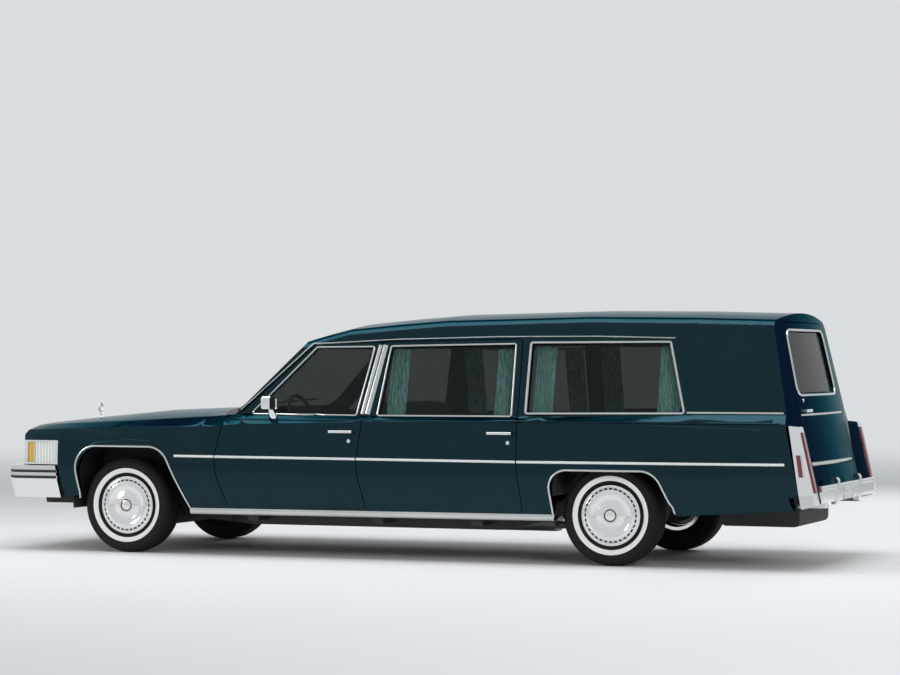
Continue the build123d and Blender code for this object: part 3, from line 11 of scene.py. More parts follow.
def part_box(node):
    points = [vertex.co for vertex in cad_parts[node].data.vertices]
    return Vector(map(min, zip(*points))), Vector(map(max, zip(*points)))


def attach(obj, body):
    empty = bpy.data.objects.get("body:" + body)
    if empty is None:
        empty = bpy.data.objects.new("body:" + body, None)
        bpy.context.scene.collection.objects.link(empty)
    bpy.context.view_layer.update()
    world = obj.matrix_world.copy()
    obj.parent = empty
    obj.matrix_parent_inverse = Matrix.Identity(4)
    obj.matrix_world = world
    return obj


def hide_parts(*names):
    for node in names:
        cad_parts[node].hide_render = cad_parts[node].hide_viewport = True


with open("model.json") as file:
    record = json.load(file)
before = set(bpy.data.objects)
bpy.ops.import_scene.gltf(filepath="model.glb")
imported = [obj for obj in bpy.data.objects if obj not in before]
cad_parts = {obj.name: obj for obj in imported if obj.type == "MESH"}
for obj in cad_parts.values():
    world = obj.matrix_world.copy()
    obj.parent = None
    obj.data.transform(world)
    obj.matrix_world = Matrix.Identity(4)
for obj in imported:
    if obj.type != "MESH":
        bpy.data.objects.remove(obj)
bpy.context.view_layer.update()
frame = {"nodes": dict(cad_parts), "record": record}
NODES = frame["nodes"]

# Axles, wheels and main heights, in metres; left is -Y and the nose points to -X
FRONT_AXLE = -2.040
REAR_AXLE = 1.630
TYRE_RADIUS = 0.342
WHEELS = {
    "front_left": (FRONT_AXLE, -0.7835),
    "front_right": (FRONT_AXLE, 0.7835),
    "rear_left": (REAR_AXLE, -0.771),
    "rear_right": (REAR_AXLE, 0.771),
}
BELT = 0.998
NOSE = -3.070

# Window openings as (x, z), all with the same corner radius
FRONT_WINDOW = [(-1.052, 1.010), (-0.238, 1.008), (-0.141, 1.480), (-0.582, 1.474)]
REAR_WINDOW = [(-0.067, 1.006), (0.918, 1.008), (0.914, 1.498), (-0.004, 1.484)]
QUARTER_WINDOW = [(1.032, 1.028), (2.138, 1.036), (2.015, 1.508), (1.036, 1.506)]
WINDOW_RADIUS = 0.014
# Wheel arches as (x from the axle, z, corner radius)
FRONT_ARCH = [(-0.356, 0.388, 0), (-0.407, 0.763, 0.190), (0.318, 0.763, 0.170), (0.530, 0.335, 0)]
REAR_ARCH = [(-0.375, 0.318, 0), (-0.420, 0.643, 0.120), (0.330, 0.643, 0.150), (0.460, 0.368, 0)]

# Colour sockets of a Mix node, by place, because their names stand on its other sockets too
MIX_SHARE = 0
MIX_FIRST = 6
MIX_SECOND = 7
MIX_RESULT = 2


def new_group(name, inputs, outputs):
    """An empty node group with named float or colour sockets, its input node and its output node."""
    group = bpy.data.node_groups.new(name, "ShaderNodeTree")
    kinds = {"f": "NodeSocketFloat", "c": "NodeSocketColor"}
    for label, kind in inputs:
        group.interface.new_socket(label, in_out="INPUT", socket_type=kinds[kind])
    for label, kind in outputs:
        group.interface.new_socket(label, in_out="OUTPUT", socket_type=kinds[kind])
    return group, group.nodes.new("NodeGroupInput"), group.nodes.new("NodeGroupOutput")


def new_node(tree, kind, **values):
    """A shader node with plain values on its inputs; _ in a label stands for a space."""
    node = tree.nodes.new(f"ShaderNode{kind}")
    for label, value in values.items():
        node.inputs[label.replace("_", " ")].default_value = value
    return node


def math_node(tree, operation, *values):
    """A Math node fed by sockets or plain numbers."""
    node = new_node(tree, "Math")
    node.operation = operation
    for at, value in enumerate(values):
        if isinstance(value, (int, float)):
            node.inputs[at].default_value = value
        else:
            tree.links.new(value, node.inputs[at])
    return node.outputs[0]


def blend_node(tree, share, first, second):
    """A colour mix of two sockets or colours."""
    node = new_node(tree, "Mix")
    node.data_type = "RGBA"
    for at, value in ((MIX_FIRST, first), (MIX_SECOND, second)):
        if isinstance(value, tuple):
            node.inputs[at].default_value = (*value, 1)
        else:
            tree.links.new(value, node.inputs[at])
    tree.links.new(share, node.inputs[MIX_SHARE])
    return node.outputs[MIX_RESULT]


def noise_node(tree, vector, scale, detail, roughness):
    """Noise on a vector, its value from 0 to 1."""
    node = new_node(tree, "TexNoise", Scale=scale, Detail=detail, Roughness=roughness)
    tree.links.new(vector, node.inputs["Vector"])
    return node.outputs["Fac"]


def object_place(tree):
    """Object coordinates, in which every texture here is laid."""
    return new_node(tree, "TexCoord").outputs["Object"]


def stretched_place(tree, scale):
    """Object coordinates with each axis scaled."""
    node = new_node(tree, "Mapping", Scale=scale)
    tree.links.new(object_place(tree), node.inputs["Vector"])
    return node.outputs["Vector"]


def dust_group():
    """Road dust: a tone between two colours, thicker near the ground and in patches."""
    tree, given, out = new_group(
        "road_dust",
        [("Colour", "c"), ("Dust", "c"), ("Amount", "f"), ("Height", "f"), ("Roughness", "f")],
        [("Colour", "c"), ("Roughness", "f")],
    )
    place = object_place(tree)
    split = new_node(tree, "SeparateXYZ")
    tree.links.new(place, split.inputs[0])
    low = new_node(tree, "MapRange", From_Min=0.0, To_Min=1.0, To_Max=0.0)
    tree.links.new(split.outputs["Z"], low.inputs["Value"])
    tree.links.new(given.outputs["Height"], low.inputs["From Max"])
    patches = noise_node(tree, place, scale=9.0, detail=5.0, roughness=0.6)
    mask = math_node(tree, "MULTIPLY", low.outputs["Result"], patches)
    mask = math_node(tree, "MULTIPLY", mask, given.outputs["Amount"])
    mixed = blend_node(tree, mask, given.outputs["Colour"], given.outputs["Dust"])
    tree.links.new(mixed, out.inputs["Colour"])
    rougher = math_node(tree, "ADD", given.outputs["Roughness"], mask)
    tree.links.new(rougher, out.inputs["Roughness"])
    return tree


def grain_group():
    """Fine grain: a bump height and a slow colour variation."""
    tree, given, out = new_group(
        "fine_grain",
        [("Scale", "f"), ("Depth", "f")],
        [("Height", "f"), ("Variation", "f")],
    )
    place = object_place(tree)
    fine = new_node(tree, "TexNoise", Detail=2.0)
    tree.links.new(place, fine.inputs["Vector"])
    tree.links.new(given.outputs["Scale"], fine.inputs["Scale"])
    deep = math_node(tree, "MULTIPLY", fine.outputs["Fac"], given.outputs["Depth"])
    tree.links.new(deep, out.inputs["Height"])
    slow = noise_node(tree, place, scale=2.2, detail=4.0, roughness=0.55)
    tree.links.new(slow, out.inputs["Variation"])
    return tree


def weave_group():
    """Crossed threads of cloth as a height and a thread tone."""
    tree, given, out = new_group("weave", [("Scale", "f")], [("Height", "f"), ("Variation", "f")])
    place = object_place(tree)
    heights = []
    for direction in ("X", "Z"):
        wave = new_node(tree, "TexWave", Distortion=0.6)
        wave.bands_direction = direction
        tree.links.new(place, wave.inputs["Vector"])
        tree.links.new(given.outputs["Scale"], wave.inputs["Scale"])
        heights.append(wave.outputs["Fac"])
    tree.links.new(math_node(tree, "MULTIPLY", *heights), out.inputs["Height"])
    slub = noise_node(tree, place, scale=35.0, detail=3.0, roughness=0.6)
    tree.links.new(slub, out.inputs["Variation"])
    return tree


DUST = dust_group()
GRAIN = grain_group()
WEAVE = weave_group()
ROAD_GREY = (0.16, 0.15, 0.14)


def material(name, colour, roughness, **sockets):
    """A material with its Principled shader; other sockets by name."""
    made = bpy.data.materials.new(name)
    made.use_nodes = True
    inputs = made.node_tree.nodes["Principled BSDF"].inputs
    inputs["Base Color"].default_value = (*colour, 1)
    inputs["Roughness"].default_value = roughness
    for label, value in sockets.items():
        inputs[label.replace("_", " ")].default_value = value
    return made


def parts_of(made):
    """The node tree of a material and the inputs of its Principled shader."""
    return made.node_tree, made.node_tree.nodes["Principled BSDF"].inputs


def use_group(tree, group, **values):
    """A node of a group with plain values on its inputs."""
    node = new_node(tree, "Group")
    node.node_tree = group
    for label, value in values.items():
        node.inputs[label].default_value = value
    return node


def scaled(colour, share):
    """A colour made lighter or darker, each channel at most 1."""
    return tuple(min(1, channel * share) for channel in colour)


def add_bump(made, height, distance):
    """A bump from a height socket on a material's shader."""
    tree, inputs = parts_of(made)
    bump = new_node(tree, "Bump", Distance=distance)
    tree.links.new(height, bump.inputs["Height"])
    tree.links.new(bump.outputs["Normal"], inputs["Normal"])


def add_dust(made, amount, height):
    """Road dust over a material's colour and roughness, up to a height."""
    tree, inputs = parts_of(made)
    colour, roughness = inputs["Base Color"], inputs["Roughness"]
    node = use_group(tree, DUST, Dust=(*ROAD_GREY, 1), Amount=amount, Height=height)
    node.inputs["Roughness"].default_value = roughness.default_value
    if colour.is_linked:
        tree.links.new(colour.links[0].from_socket, node.inputs["Colour"])
    else:
        node.inputs["Colour"].default_value = colour.default_value
    tree.links.new(node.outputs["Colour"], colour)
    tree.links.new(node.outputs["Roughness"], roughness)


def add_relief(made, group, distance, tones, **values):
    """The grain or weave group as a bump, and as a change between two tones of the colour."""
    tree, inputs = parts_of(made)
    node = use_group(tree, group, **values)
    add_bump(made, node.outputs["Height"], distance)
    tree.links.new(blend_node(tree, node.outputs["Variation"], *tones), inputs["Base Color"])


def paint_material():
    """Dark blue-green metallic paint under a thin clear coat."""
    made = material(
        "midnight_teal_paint",
        (0.014, 0.034, 0.044),
        0.16,
        Metallic=1.0,
        Coat_Weight=0.03,
        Coat_Roughness=0.03,
        Coat_IOR=1.30,
        Specular_Tint=(0.22, 0.38, 0.43, 1),
    )
    tones = ((0.0125, 0.0315, 0.0405), (0.0155, 0.0365, 0.0475))
    add_relief(made, GRAIN, 0.00005, tones, Scale=2600.0, Depth=0.4)
    add_dust(made, amount=0.02, height=0.6)
    return made


def chrome_material():
    """Polished chrome with faint haze."""
    made = material("bright_chrome", (0.80, 0.81, 0.81), 0.10, Metallic=1.0)
    tones = ((0.77, 0.78, 0.78), (0.83, 0.84, 0.84))
    add_relief(made, GRAIN, 0.00006, tones, Scale=60.0, Depth=0.10)
    add_dust(made, amount=0.05, height=0.6)
    return made


def rubber_material(name, colour):
    """Tyre rubber with a grey bloom."""
    made = material(name, colour, 0.72, Specular_IOR_Level=0.25)
    add_relief(made, GRAIN, 0.0003, (colour, scaled(colour, 1.5)), Scale=900.0, Depth=0.6)
    add_dust(made, amount=0.06, height=0.7)
    return made


def whitewall_material():
    """Pale band of a tyre's side."""
    made = material("whitewall_band", (0.86, 0.86, 0.84), 0.55)
    tones = ((0.83, 0.83, 0.81), (0.89, 0.89, 0.87))
    add_relief(made, GRAIN, 0.0002, tones, Scale=300.0, Depth=0.5)
    return made


def cloth_material():
    """Teal curtain cloth: a weave, with painted shade of folds in upright streaks."""
    made = material("teal_curtain_cloth", (0.30, 0.80, 0.76), 0.85, Sheen_Weight=0.25)
    add_relief(made, WEAVE, 0.0004, ((0.40, 0.98, 0.90), (0.66, 1.0, 0.97)), Scale=300.0)
    tree, inputs = parts_of(made)
    colour = inputs["Base Color"]
    # Painted shade: upright noise streaks blend a dark teal over the cloth colour, as if its folds were
    # shaded
    upright = stretched_place(tree, (1, 1, 0.02))
    painted_fold_shade = noise_node(tree, upright, scale=130.0, detail=2.0, roughness=0.6)
    depth = new_node(tree, "MapRange", From_Min=0.36, From_Max=0.60)
    tree.links.new(painted_fold_shade, depth.inputs["Value"])
    painted_shade_colour = (0.10, 0.40, 0.38)
    lit = colour.links[0].from_socket
    tree.links.new(blend_node(tree, depth.outputs["Result"], painted_shade_colour, lit), colour)
    return made


def leather_material():
    """Dark blue seat leather."""
    made = material("seat_leather", (0.03, 0.06, 0.08), 0.45)
    tones = ((0.025, 0.05, 0.07), (0.04, 0.075, 0.095))
    add_relief(made, GRAIN, 0.0006, tones, Scale=420.0, Depth=1.0)
    return made


def wood_material():
    """Varnished deck boards with long grain."""
    made = material("deck_wood", (0.20, 0.10, 0.05), 0.35, Coat_Weight=0.4)
    tree, inputs = parts_of(made)
    lengthwise = stretched_place(tree, (0.8, 14.0, 14.0))
    rings = noise_node(tree, lengthwise, scale=6.0, detail=6.0, roughness=0.65)
    colour = blend_node(tree, rings, (0.12, 0.055, 0.025), (0.34, 0.19, 0.10))
    tree.links.new(colour, inputs["Base Color"])
    add_bump(made, rings, 0.0008)
    return made


def metal_material(name, colour, roughness, metallic=0.6, depth=0.0008, dust=0.3):
    """Cast, painted or bright metal with grain and road dust."""
    made = material(name, colour, roughness, Metallic=metallic)
    add_relief(made, GRAIN, depth, (colour, scaled(colour, 1.6)), Scale=160.0, Depth=1.0)
    add_dust(made, amount=dust, height=0.9)
    return made


def glass_material(name, colour, seen_alpha, light_alpha):
    """Thin tinted glass: each face holds back part of what is seen, and less of the light."""
    made = material(name, colour, 0.02, Specular_IOR_Level=0.22)
    add_dust(made, amount=0.02, height=1.6)
    tree, inputs = parts_of(made)
    rays = new_node(tree, "LightPath").outputs
    inward = math_node(tree, "MAXIMUM", rays["Is Shadow Ray"], rays["Is Diffuse Ray"])
    alpha = math_node(tree, "MULTIPLY_ADD", inward, light_alpha - seen_alpha, seen_alpha)
    tree.links.new(alpha, inputs["Alpha"])
    return made


def lens_material(name, colour, flutes):
    """Moulded lamp lens with upright flutes."""
    made = material(name, colour, 0.12, Specular_IOR_Level=0.7, Coat_Weight=0.6, Coat_Roughness=0.04)
    tree, inputs = parts_of(made)
    wave = new_node(tree, "TexWave", Scale=flutes)
    wave.wave_type = "BANDS"
    wave.bands_direction = "DIAGONAL"
    tree.links.new(stretched_place(tree, (1, 1, 0)), wave.inputs["Vector"])
    tone = blend_node(tree, wave.outputs["Fac"], scaled(colour, 0.72), colour)
    tree.links.new(tone, inputs["Base Color"])
    add_bump(made, wave.outputs["Fac"], 0.0015)
    return made


def plastic_material(name, colour, roughness, depth=0.5):
    """Moulded plastic with a fine grain."""
    made = material(name, colour, roughness)
    add_relief(made, GRAIN, 0.0002, (scaled(colour, 0.8), colour), Scale=700.0, Depth=depth)
    return made


PAINT = paint_material()
CHROME = chrome_material()
RUBBER = rubber_material("tyre_rubber", (0.005, 0.005, 0.006))
WHITEWALL = whitewall_material()
CLOTH = cloth_material()
LEATHER = leather_material()
WOOD = wood_material()
IRON = metal_material("cast_iron", (0.05, 0.05, 0.05), 0.7)
STEEL = metal_material("bare_steel", (0.30, 0.30, 0.31), 0.4, metallic=0.9, depth=0.0002)
CHASSIS = metal_material("chassis_black", (0.018, 0.018, 0.020), 0.55, metallic=0.2)
BRIGHT = metal_material("bright_trim", (0.46, 0.47, 0.46), 0.16, metallic=1.0, depth=0.00004, dust=0.05)
BRONZE = metal_material("dark_bronze", (0.10, 0.055, 0.03), 0.35, metallic=0.8, depth=0.0001, dust=0.05)
GLASS = glass_material("tinted_glass", (0.004, 0.007, 0.007), seen_alpha=0.56, light_alpha=0.02)
CLEAR = lens_material("clear_lens", (0.86, 0.88, 0.84), flutes=26.0)
AMBER = lens_material("amber_lens", (0.80, 0.46, 0.05), flutes=26.0)
RED = lens_material("red_lens", (0.17, 0.006, 0.016), flutes=30.0)
BLACK = plastic_material("black_rubber_strip", (0.012, 0.012, 0.013), 0.6)
INSERT = plastic_material("bright_insert", (0.80, 0.82, 0.82), 0.3)
TRIM = plastic_material("dark_interior_trim", (0.03, 0.05, 0.06), 0.6, depth=1.0)
PLATE = plastic_material("blank_plate", (0.70, 0.70, 0.68), 0.5)

# Finish of each CAD node
NODE_FINISHES = {
    PAINT: ["hood", "front_fenders", "side_frames", "quarter_panels"],
    CHROME: ["grille", "front_bumper", "rear_bumper", "tail_fins", "front_lamps", "gate_hardware"],
    CLEAR: ["lamp_lenses"],
    AMBER: ["front_markers"],
    GLASS: ["windshield", "quarter_glass", "rear_glass"],
    RED: ["tail_lenses"],
    CHASSIS: ["frame", "underbody", "front_suspension", "rear_axle", "fuel_tank", "radiator"],
    IRON: ["engine", "knuckle_left", "knuckle_right"],
    STEEL: ["exhaust"],
    WOOD: ["load_deck"],
    TRIM: ["dashboard", "steering_wheel"],
    LEATHER: ["front_seat"],
    CLOTH: ["quarter_curtains"],
}
NODE_FINISHES[PAINT] += ["rear_frame", "roof", "nose_panel", "rear_door"]
for side_name in ("left", "right"):
    NODE_FINISHES[CLOTH].append(f"curtains_rear_{side_name}")
    for end_name in ("front", "rear"):
        NODE_FINISHES[PAINT].append(f"door_{end_name}_{side_name}")
        NODE_FINISHES[GLASS].append(f"glass_{end_name}_{side_name}")
        NODE_FINISHES[CHROME].append(f"door_hardware_{end_name}_{side_name}")
        NODE_FINISHES[CHROME].append(f"wheel_{end_name}_{side_name}")
for finish, names in NODE_FINISHES.items():
    for name in names:
        NODES[name].data.materials.clear()
        NODES[name].data.materials.append(finish)


def skin_of(*names):
    """A ray target made of CAD nodes."""
    points, faces = [], []
    for name in names:
        mesh = NODES[name].data
        first = len(points)
        points.extend(v.co.copy() for v in mesh.vertices)
        faces.extend([first + i for i in face.vertices] for face in mesh.polygons)
    return BVHTree.FromPolygons(points, faces)


LEFT_SKIN = skin_of(
    "front_fenders",
    "side_frames",
    "door_front_left",
    "door_rear_left",
    "quarter_panels",
    "roof",
    "rear_frame",
)
REAR_SKIN = skin_of("rear_door", "rear_frame", "roof", "quarter_panels")
FIN_SKIN = skin_of("tail_fins", "tail_lenses")
PANE_SKIN = skin_of("windshield")
HOOD_SKIN = skin_of("hood")

# Directions of the rays, and the planes outside the car that they start from
INWARD = Vector((0, 1, 0))
FORWARD = Vector((-1, 0, 0))
BACKWARD = Vector((1, 0, 0))
DOWN = Vector((0, 0, -1))
LEFT_OF_CAR = -1.6
BEHIND_CAR = 3.6
AHEAD_OF_CAR = -3.5
ABOVE_HOOD = 1.4
NEAR_LEFT = -0.95


def cast(skin, start, along):
    """Where a ray meets a skin, with the normal that faces the ray; None twice for a miss."""
    hit, normal, _, _ = skin.ray_cast(Vector(start), along)
    if hit is not None and normal.dot(along) > 0:
        normal = -normal
    return hit, normal


def on_left(x, z):
    """The point of the left side at a station and height, with its outward normal."""
    hit, normal = cast(LEFT_SKIN, (x, LEFT_OF_CAR, z), INWARD)
    if hit is None:
        hit, normal, _, _ = LEFT_SKIN.find_nearest(Vector((x, NEAR_LEFT, z)))
        if normal.y > 0:
            normal = -normal
    return hit, normal


def rounded(corners, closed, steps=5):
    """Corners (u, v, radius) as a list of points with arcs at the corners."""
    most = 0.48
    count = len(corners)
    points = []
    for at, (u, v, radius) in enumerate(corners):
        here = Vector((u, v))
        if radius == 0 or (not closed and at in (0, count - 1)):
            points.append(here)
            continue
        back = Vector(corners[at - 1][:2]) - here
        ahead = Vector(corners[(at + 1) % count][:2]) - here
        half = back.angle(ahead) / 2
        reach = min(radius / math.tan(half), back.length * most, ahead.length * most)
        radius = reach * math.tan(half)
        centre = here + (back.normalized() + ahead.normalized()).normalized() * (radius / math.sin(half))
        start = here + back.normalized() * reach - centre
        stop = here + ahead.normalized() * reach - centre
        turn = start.angle_signed(stop)
        for step in range(steps + 1):
            arm = start.copy()
            arm.rotate(Matrix.Rotation(-turn * step / steps, 2))
            points.append(centre + arm)
    return points


def spaced(points, gap, closed=False):
    """Points with more added, so that no run is longer than gap."""
    ends = points + points[:1] if closed else points
    found = []
    for start, stop in zip(ends, ends[1:]):
        runs = max(1, math.ceil((stop - start).length / gap))
        found.extend(start.lerp(stop, step / runs) for step in range(runs))
    if not closed:
        found.append(ends[-1])
    return found


def finish_mesh(bm, name, finish, body, sharp=35):
    """A bmesh as a finished piece on its body."""
    bmesh.ops.recalc_face_normals(bm, faces=bm.faces[:])
    mesh = bpy.data.meshes.new(name)
    bm.to_mesh(mesh)
    bm.free()
    for polygon in mesh.polygons:
        polygon.use_smooth = True
    mesh.set_sharp_from_angle(angle=math.radians(sharp))
    for each in finish if isinstance(finish, list) else [finish]:
        mesh.materials.append(each)
    piece = bpy.data.objects.new(name, mesh)
    bpy.context.scene.collection.objects.link(piece)
    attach(piece, body)
    return piece


def add_ring(bm, points, closed=True):
    """A loop or line of vertices joined by edges."""
    verts = [bm.verts.new(p) for p in points]
    pairs = list(zip(verts, verts[1:] + verts[:1]))
    if not closed:
        pairs = pairs[:-1]
    return [bm.edges.new(pair) for pair in pairs]


def sweep(bm, section, path, ups, closed=False, widths=None):
    """A closed section swept along a path; each up is the way that the section's v points."""
    count = len(path)
    frames = []
    for at in range(count):
        if closed:
            ahead = path[(at + 1) % count] - path[at - 1]
        else:
            ahead = path[min(at + 1, count - 1)] - path[max(at - 1, 0)]
        ahead.normalize()
        up = (ups[at] - ahead * ups[at].dot(ahead)).normalized()
        across = ahead.cross(up)
        turn = Matrix((across, up, ahead)).transposed().to_4x4()
        width = widths[at] if widths else 1.0
        frames.append(Matrix.Translation(path[at]) @ turn @ Matrix.Diagonal((width, width, 1, 1)))
    edges = add_ring(bm, [frames[0] @ Vector((u, v, 0)) for u, v in section])
    first = edges
    for before, after in zip(frames, frames[1:]):
        made = bmesh.ops.extrude_edge_only(bm, edges=edges)["geom"]
        edges = [e for e in made if isinstance(e, bmesh.types.BMEdge) and e.is_boundary]
        moved = [v for v in made if isinstance(v, bmesh.types.BMVert)]
        bmesh.ops.transform(bm, matrix=after @ before.inverted(), verts=moved)
    if closed:
        bmesh.ops.bridge_loops(bm, edges=first + edges)
    else:
        bmesh.ops.contextual_create(bm, geom=first)
        bmesh.ops.contextual_create(bm, geom=edges)


def laid(section, found, closed=False, widths=None):
    """A section swept along found points, each with its outward direction."""
    bm = bmesh.new()
    sweep(bm, section, [point for point, _ in found], [up for _, up in found], closed, widths)
    return bm


def moulding(width, height, sunk=0.002):
    """Section of a moulding with rounded shoulders, sunk a little in what carries it."""
    half = width / 2
    rising = [(half, -sunk), (half, height * 0.45), (half * 0.72, height * 0.86), (half * 0.3, height)]
    return [(-u, v) for u, v in rising] + rising[::-1]


def mirrored(bm):
    """A copy of a bmesh on the car's other side."""
    other = bm.copy()
    bmesh.ops.scale(other, vec=(1, -1, 1), verts=other.verts[:])
    bmesh.ops.reverse_faces(other, faces=other.faces[:])
    return other


def both_sides(bm, name, finish, body):
    """A left piece and its mirror image; a body name with {} takes the side."""
    other = mirrored(bm)
    finish_mesh(bm, f"{name}_left", finish, body.format("left"))
    finish_mesh(other, f"{name}_right", finish, body.format("right"))


# A point of a side moulding that lies this much off its neighbour fell through a gap
STEP_LIMIT = 0.03


def side_line(points, gap, closed):
    """Points (x, z) laid on the left side, with their outward directions."""
    places = spaced([Vector(p) for p in points], gap, closed)
    found = [on_left(place.x, place.y) for place in places]
    start = min(range(len(found)), key=lambda at: found[at][0].y)
    for order in (range(start + 1, len(found)), range(start - 1, -1, -1)):
        for at in order:
            near, normal = found[at - order.step]
            if abs(found[at][0].y - near.y) > STEP_LIMIT:
                found[at] = (Vector((places[at].x, near.y, places[at].y)), normal)
    return found


def side_moulding(name, points, size, finish, body, gap=0.06, closed=False, widths=None):
    """A moulding of (width, height) along points (x, z) on both sides."""
    found = side_line(points, gap, closed)
    scale = [widths(at / (len(found) - 1)) for at in range(len(found))] if widths else None
    both_sides(laid(moulding(*size), found, closed, scale), name, finish, body)


def add_box(bm, low, high, bevel, segments=2):
    """A box between two corners with bevelled edges."""
    made = bmesh.ops.create_cube(bm, size=1.0)["verts"]
    low, high = Vector(low), Vector(high)
    bmesh.ops.scale(bm, vec=high - low, verts=made)
    bmesh.ops.translate(bm, vec=(low + high) / 2, verts=made)
    edges = list({e for v in made for e in v.link_edges})
    bmesh.ops.bevel(
        bm, geom=edges, offset=bevel, segments=segments, affect="EDGES", profile=0.5, material=-1
    )


def spin_line(bm, edges, centre, axis, steps):
    """Edges turned once round an axis."""
    verts = list({v for e in edges for v in e.verts})
    bmesh.ops.spin(
        bm, geom=verts + edges, cent=centre, axis=axis, angle=math.tau, steps=steps, use_merge=True
    )


MERGE = 0.00002


def turned(points, centre, out, steps=96):
    """A profile of (radius, offset) turned about an axle; out is the outward sign along Y."""
    bm = bmesh.new()
    edges = add_ring(bm, [centre + Vector((0, out * offset, radius)) for radius, offset in points], False)
    spin_line(bm, edges, centre, (0, 1, 0), steps)
    bmesh.ops.remove_doubles(bm, verts=bm.verts[:], dist=MERGE)
    return bm


# Wheel wells and the low edge under the nose, which are chassis black
WELL_SPANS = ((-2.52, -1.42), (1.19, 2.15))
WELL_OUTSIDE = 0.885
WELL_TOP = 0.83
LOW_EDGE_END = -2.30
LOW_EDGE_TOP = 0.352


def is_black(name, place):
    """Whether a face of a painted node lies in a well or on the low edge under the nose."""
    if "door" in name:
        return False
    in_span = any(start < place.x < stop for start, stop in WELL_SPANS)
    in_well = in_span and abs(place.y) < WELL_OUTSIDE and place.z < WELL_TOP
    return in_well or (place.x < LOW_EDGE_END and place.z < LOW_EDGE_TOP)


def smooth_skin(name, body):
    """A painted node as one smooth mesh, without the edges between its stations."""
    bm = bmesh.new()
    bm.from_mesh(NODES[name].data)
    bmesh.ops.remove_doubles(bm, verts=bm.verts[:], dist=MERGE)
    for face in bm.faces:
        if is_black(name, face.calc_center_median()):
            face.material_index = 1
    piece = finish_mesh(bm, f"{name}_skin", [PAINT, CHASSIS], body, 22)
    evened = piece.modifiers.new("evened", "WEIGHTED_NORMAL")
    evened.keep_sharp = True
    evened.weight = 50
    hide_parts(name)


BODY_OF = {node: body for body, nodes in frame["record"]["behaviour"]["bodies"].items() for node in nodes}
for name in NODE_FINISHES[PAINT]:
    smooth_skin(name, BODY_OF[name])

# Tyre half profile as (radius, offset from the tyre's middle)
TYRE_SIDE = [
    (0.1910, 0.070), (0.1935, 0.077), (0.2010, 0.081), (0.2080, 0.0835),
    (0.2120, 0.0865), (0.2200, 0.0890), (0.2325, 0.0965), (0.2338, 0.0985),
    (0.2500, 0.1065), (0.2672, 0.1105), (0.2686, 0.1098), (0.2820, 0.1122),
    (0.2960, 0.1115), (0.3100, 0.1078), (0.3120, 0.1085), (0.3140, 0.1062),
    (0.3240, 0.1000), (0.3330, 0.0915), (0.3385, 0.0810), (0.3408, 0.0700),
]
WHITEWALL_RADII = (0.2335, 0.2676)
# Edges of the tread's ribs; a groove lies after the second and after the fourth
RIB_EDGES = [0.0640, 0.0400, 0.0340, 0.0140, 0.0080]
RIB_RADIUS = TYRE_RADIUS - 0.0004
GROOVE_RADIUS = TYRE_RADIUS - 0.0075
GROOVE_DRAFT = 0.0008


def tyre_profile():
    """Full tyre profile, side to side, with tread grooves."""
    tread = []
    for at, edge in enumerate(RIB_EDGES):
        tread.append((RIB_RADIUS, edge))
        if at % 2:
            tread.append((GROOVE_RADIUS, edge - GROOVE_DRAFT))
            tread.append((GROOVE_RADIUS, RIB_EDGES[at + 1] + GROOVE_DRAFT))
    half = TYRE_SIDE + tread
    return half + [(radius, -offset) for radius, offset in reversed(half)]


def build_tyre(place, centre, out):
    """One tyre with ribs and a whitewall band on its outer side."""
    bm = turned(tyre_profile(), centre, out)
    for face in bm.faces:
        middle = face.calc_center_median() - centre
        radius = math.hypot(middle.x, middle.z)
        if WHITEWALL_RADII[0] < radius < WHITEWALL_RADII[1] and middle.y * out > 0:
            face.material_index = 1
    piece = finish_mesh(bm, f"tyre_tread_{place}", [RUBBER, WHITEWALL], f"wheel_{place}", 50)
    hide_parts(f"tyre_{place}")


# Wheel cover profiles as (radius, offset from the wheel's middle)
COVER = [
    (0.2045, 0.0860), (0.2075, 0.0900), (0.2072, 0.0965), (0.2040, 0.0985),
    (0.1960, 0.0975), (0.1900, 0.0990), (0.1855, 0.1015), (0.1838, 0.1000),
    (0.1752, 0.1010), (0.1735, 0.1035), (0.1600, 0.1075), (0.1500, 0.1085),
    (0.1460, 0.1080), (0.1445, 0.1065), (0.1300, 0.1020), (0.1120, 0.0985),
    (0.1085, 0.0980), (0.1070, 0.1000), (0.1050, 0.1005), (0.1000, 0.0990),
    (0.0780, 0.1075), (0.0640, 0.1120), (0.0480, 0.1130), (0.0440, 0.1120),
]
COVER_RING = [(0.0450, 0.1105), (0.0440, 0.1140), (0.0400, 0.1160), (0.0370, 0.1150), (0.0360, 0.1125)]
COVER_DOME = [(0.0365, 0.1120), (0.0300, 0.1150), (0.0180, 0.1170), (0.0001, 0.1175)]
# Slots of the cover, as a box that stands on its rim's groove
SLOTS = 32
SLOT_LOW = (-0.0118, -0.0014, 0.1746)
SLOT_HIGH = (0.0118, 0.0014, 0.1844)
SLOT_OFFSET = 0.1008


def build_cover(place, centre, out):
    """One slotted wheel cover with its plain centre."""
    body = f"wheel_{place}"
    finish_mesh(turned(COVER, centre, out), f"wheel_cover_{place}", CHROME, body, 30)
    bm = bmesh.new()
    move = Matrix.Translation(centre + Vector((0, out * SLOT_OFFSET, 0)))
    for slot in range(SLOTS):
        start = len(bm.verts)
        add_box(bm, SLOT_LOW, SLOT_HIGH, 0.0010, 1)
        bm.verts.ensure_lookup_table()
        spin = Matrix.Rotation(math.tau * slot / SLOTS, 4, "Y")
        bmesh.ops.transform(bm, matrix=move @ spin, verts=bm.verts[start:])
    finish_mesh(bm, f"cover_slots_{place}", BLACK, body)
    finish_mesh(turned(COVER_RING, centre, out, 48), f"cover_ring_{place}", BRONZE, body, 30)
    finish_mesh(turned(COVER_DOME, centre, out, 48), f"cover_centre_{place}", CHROME, body, 30)


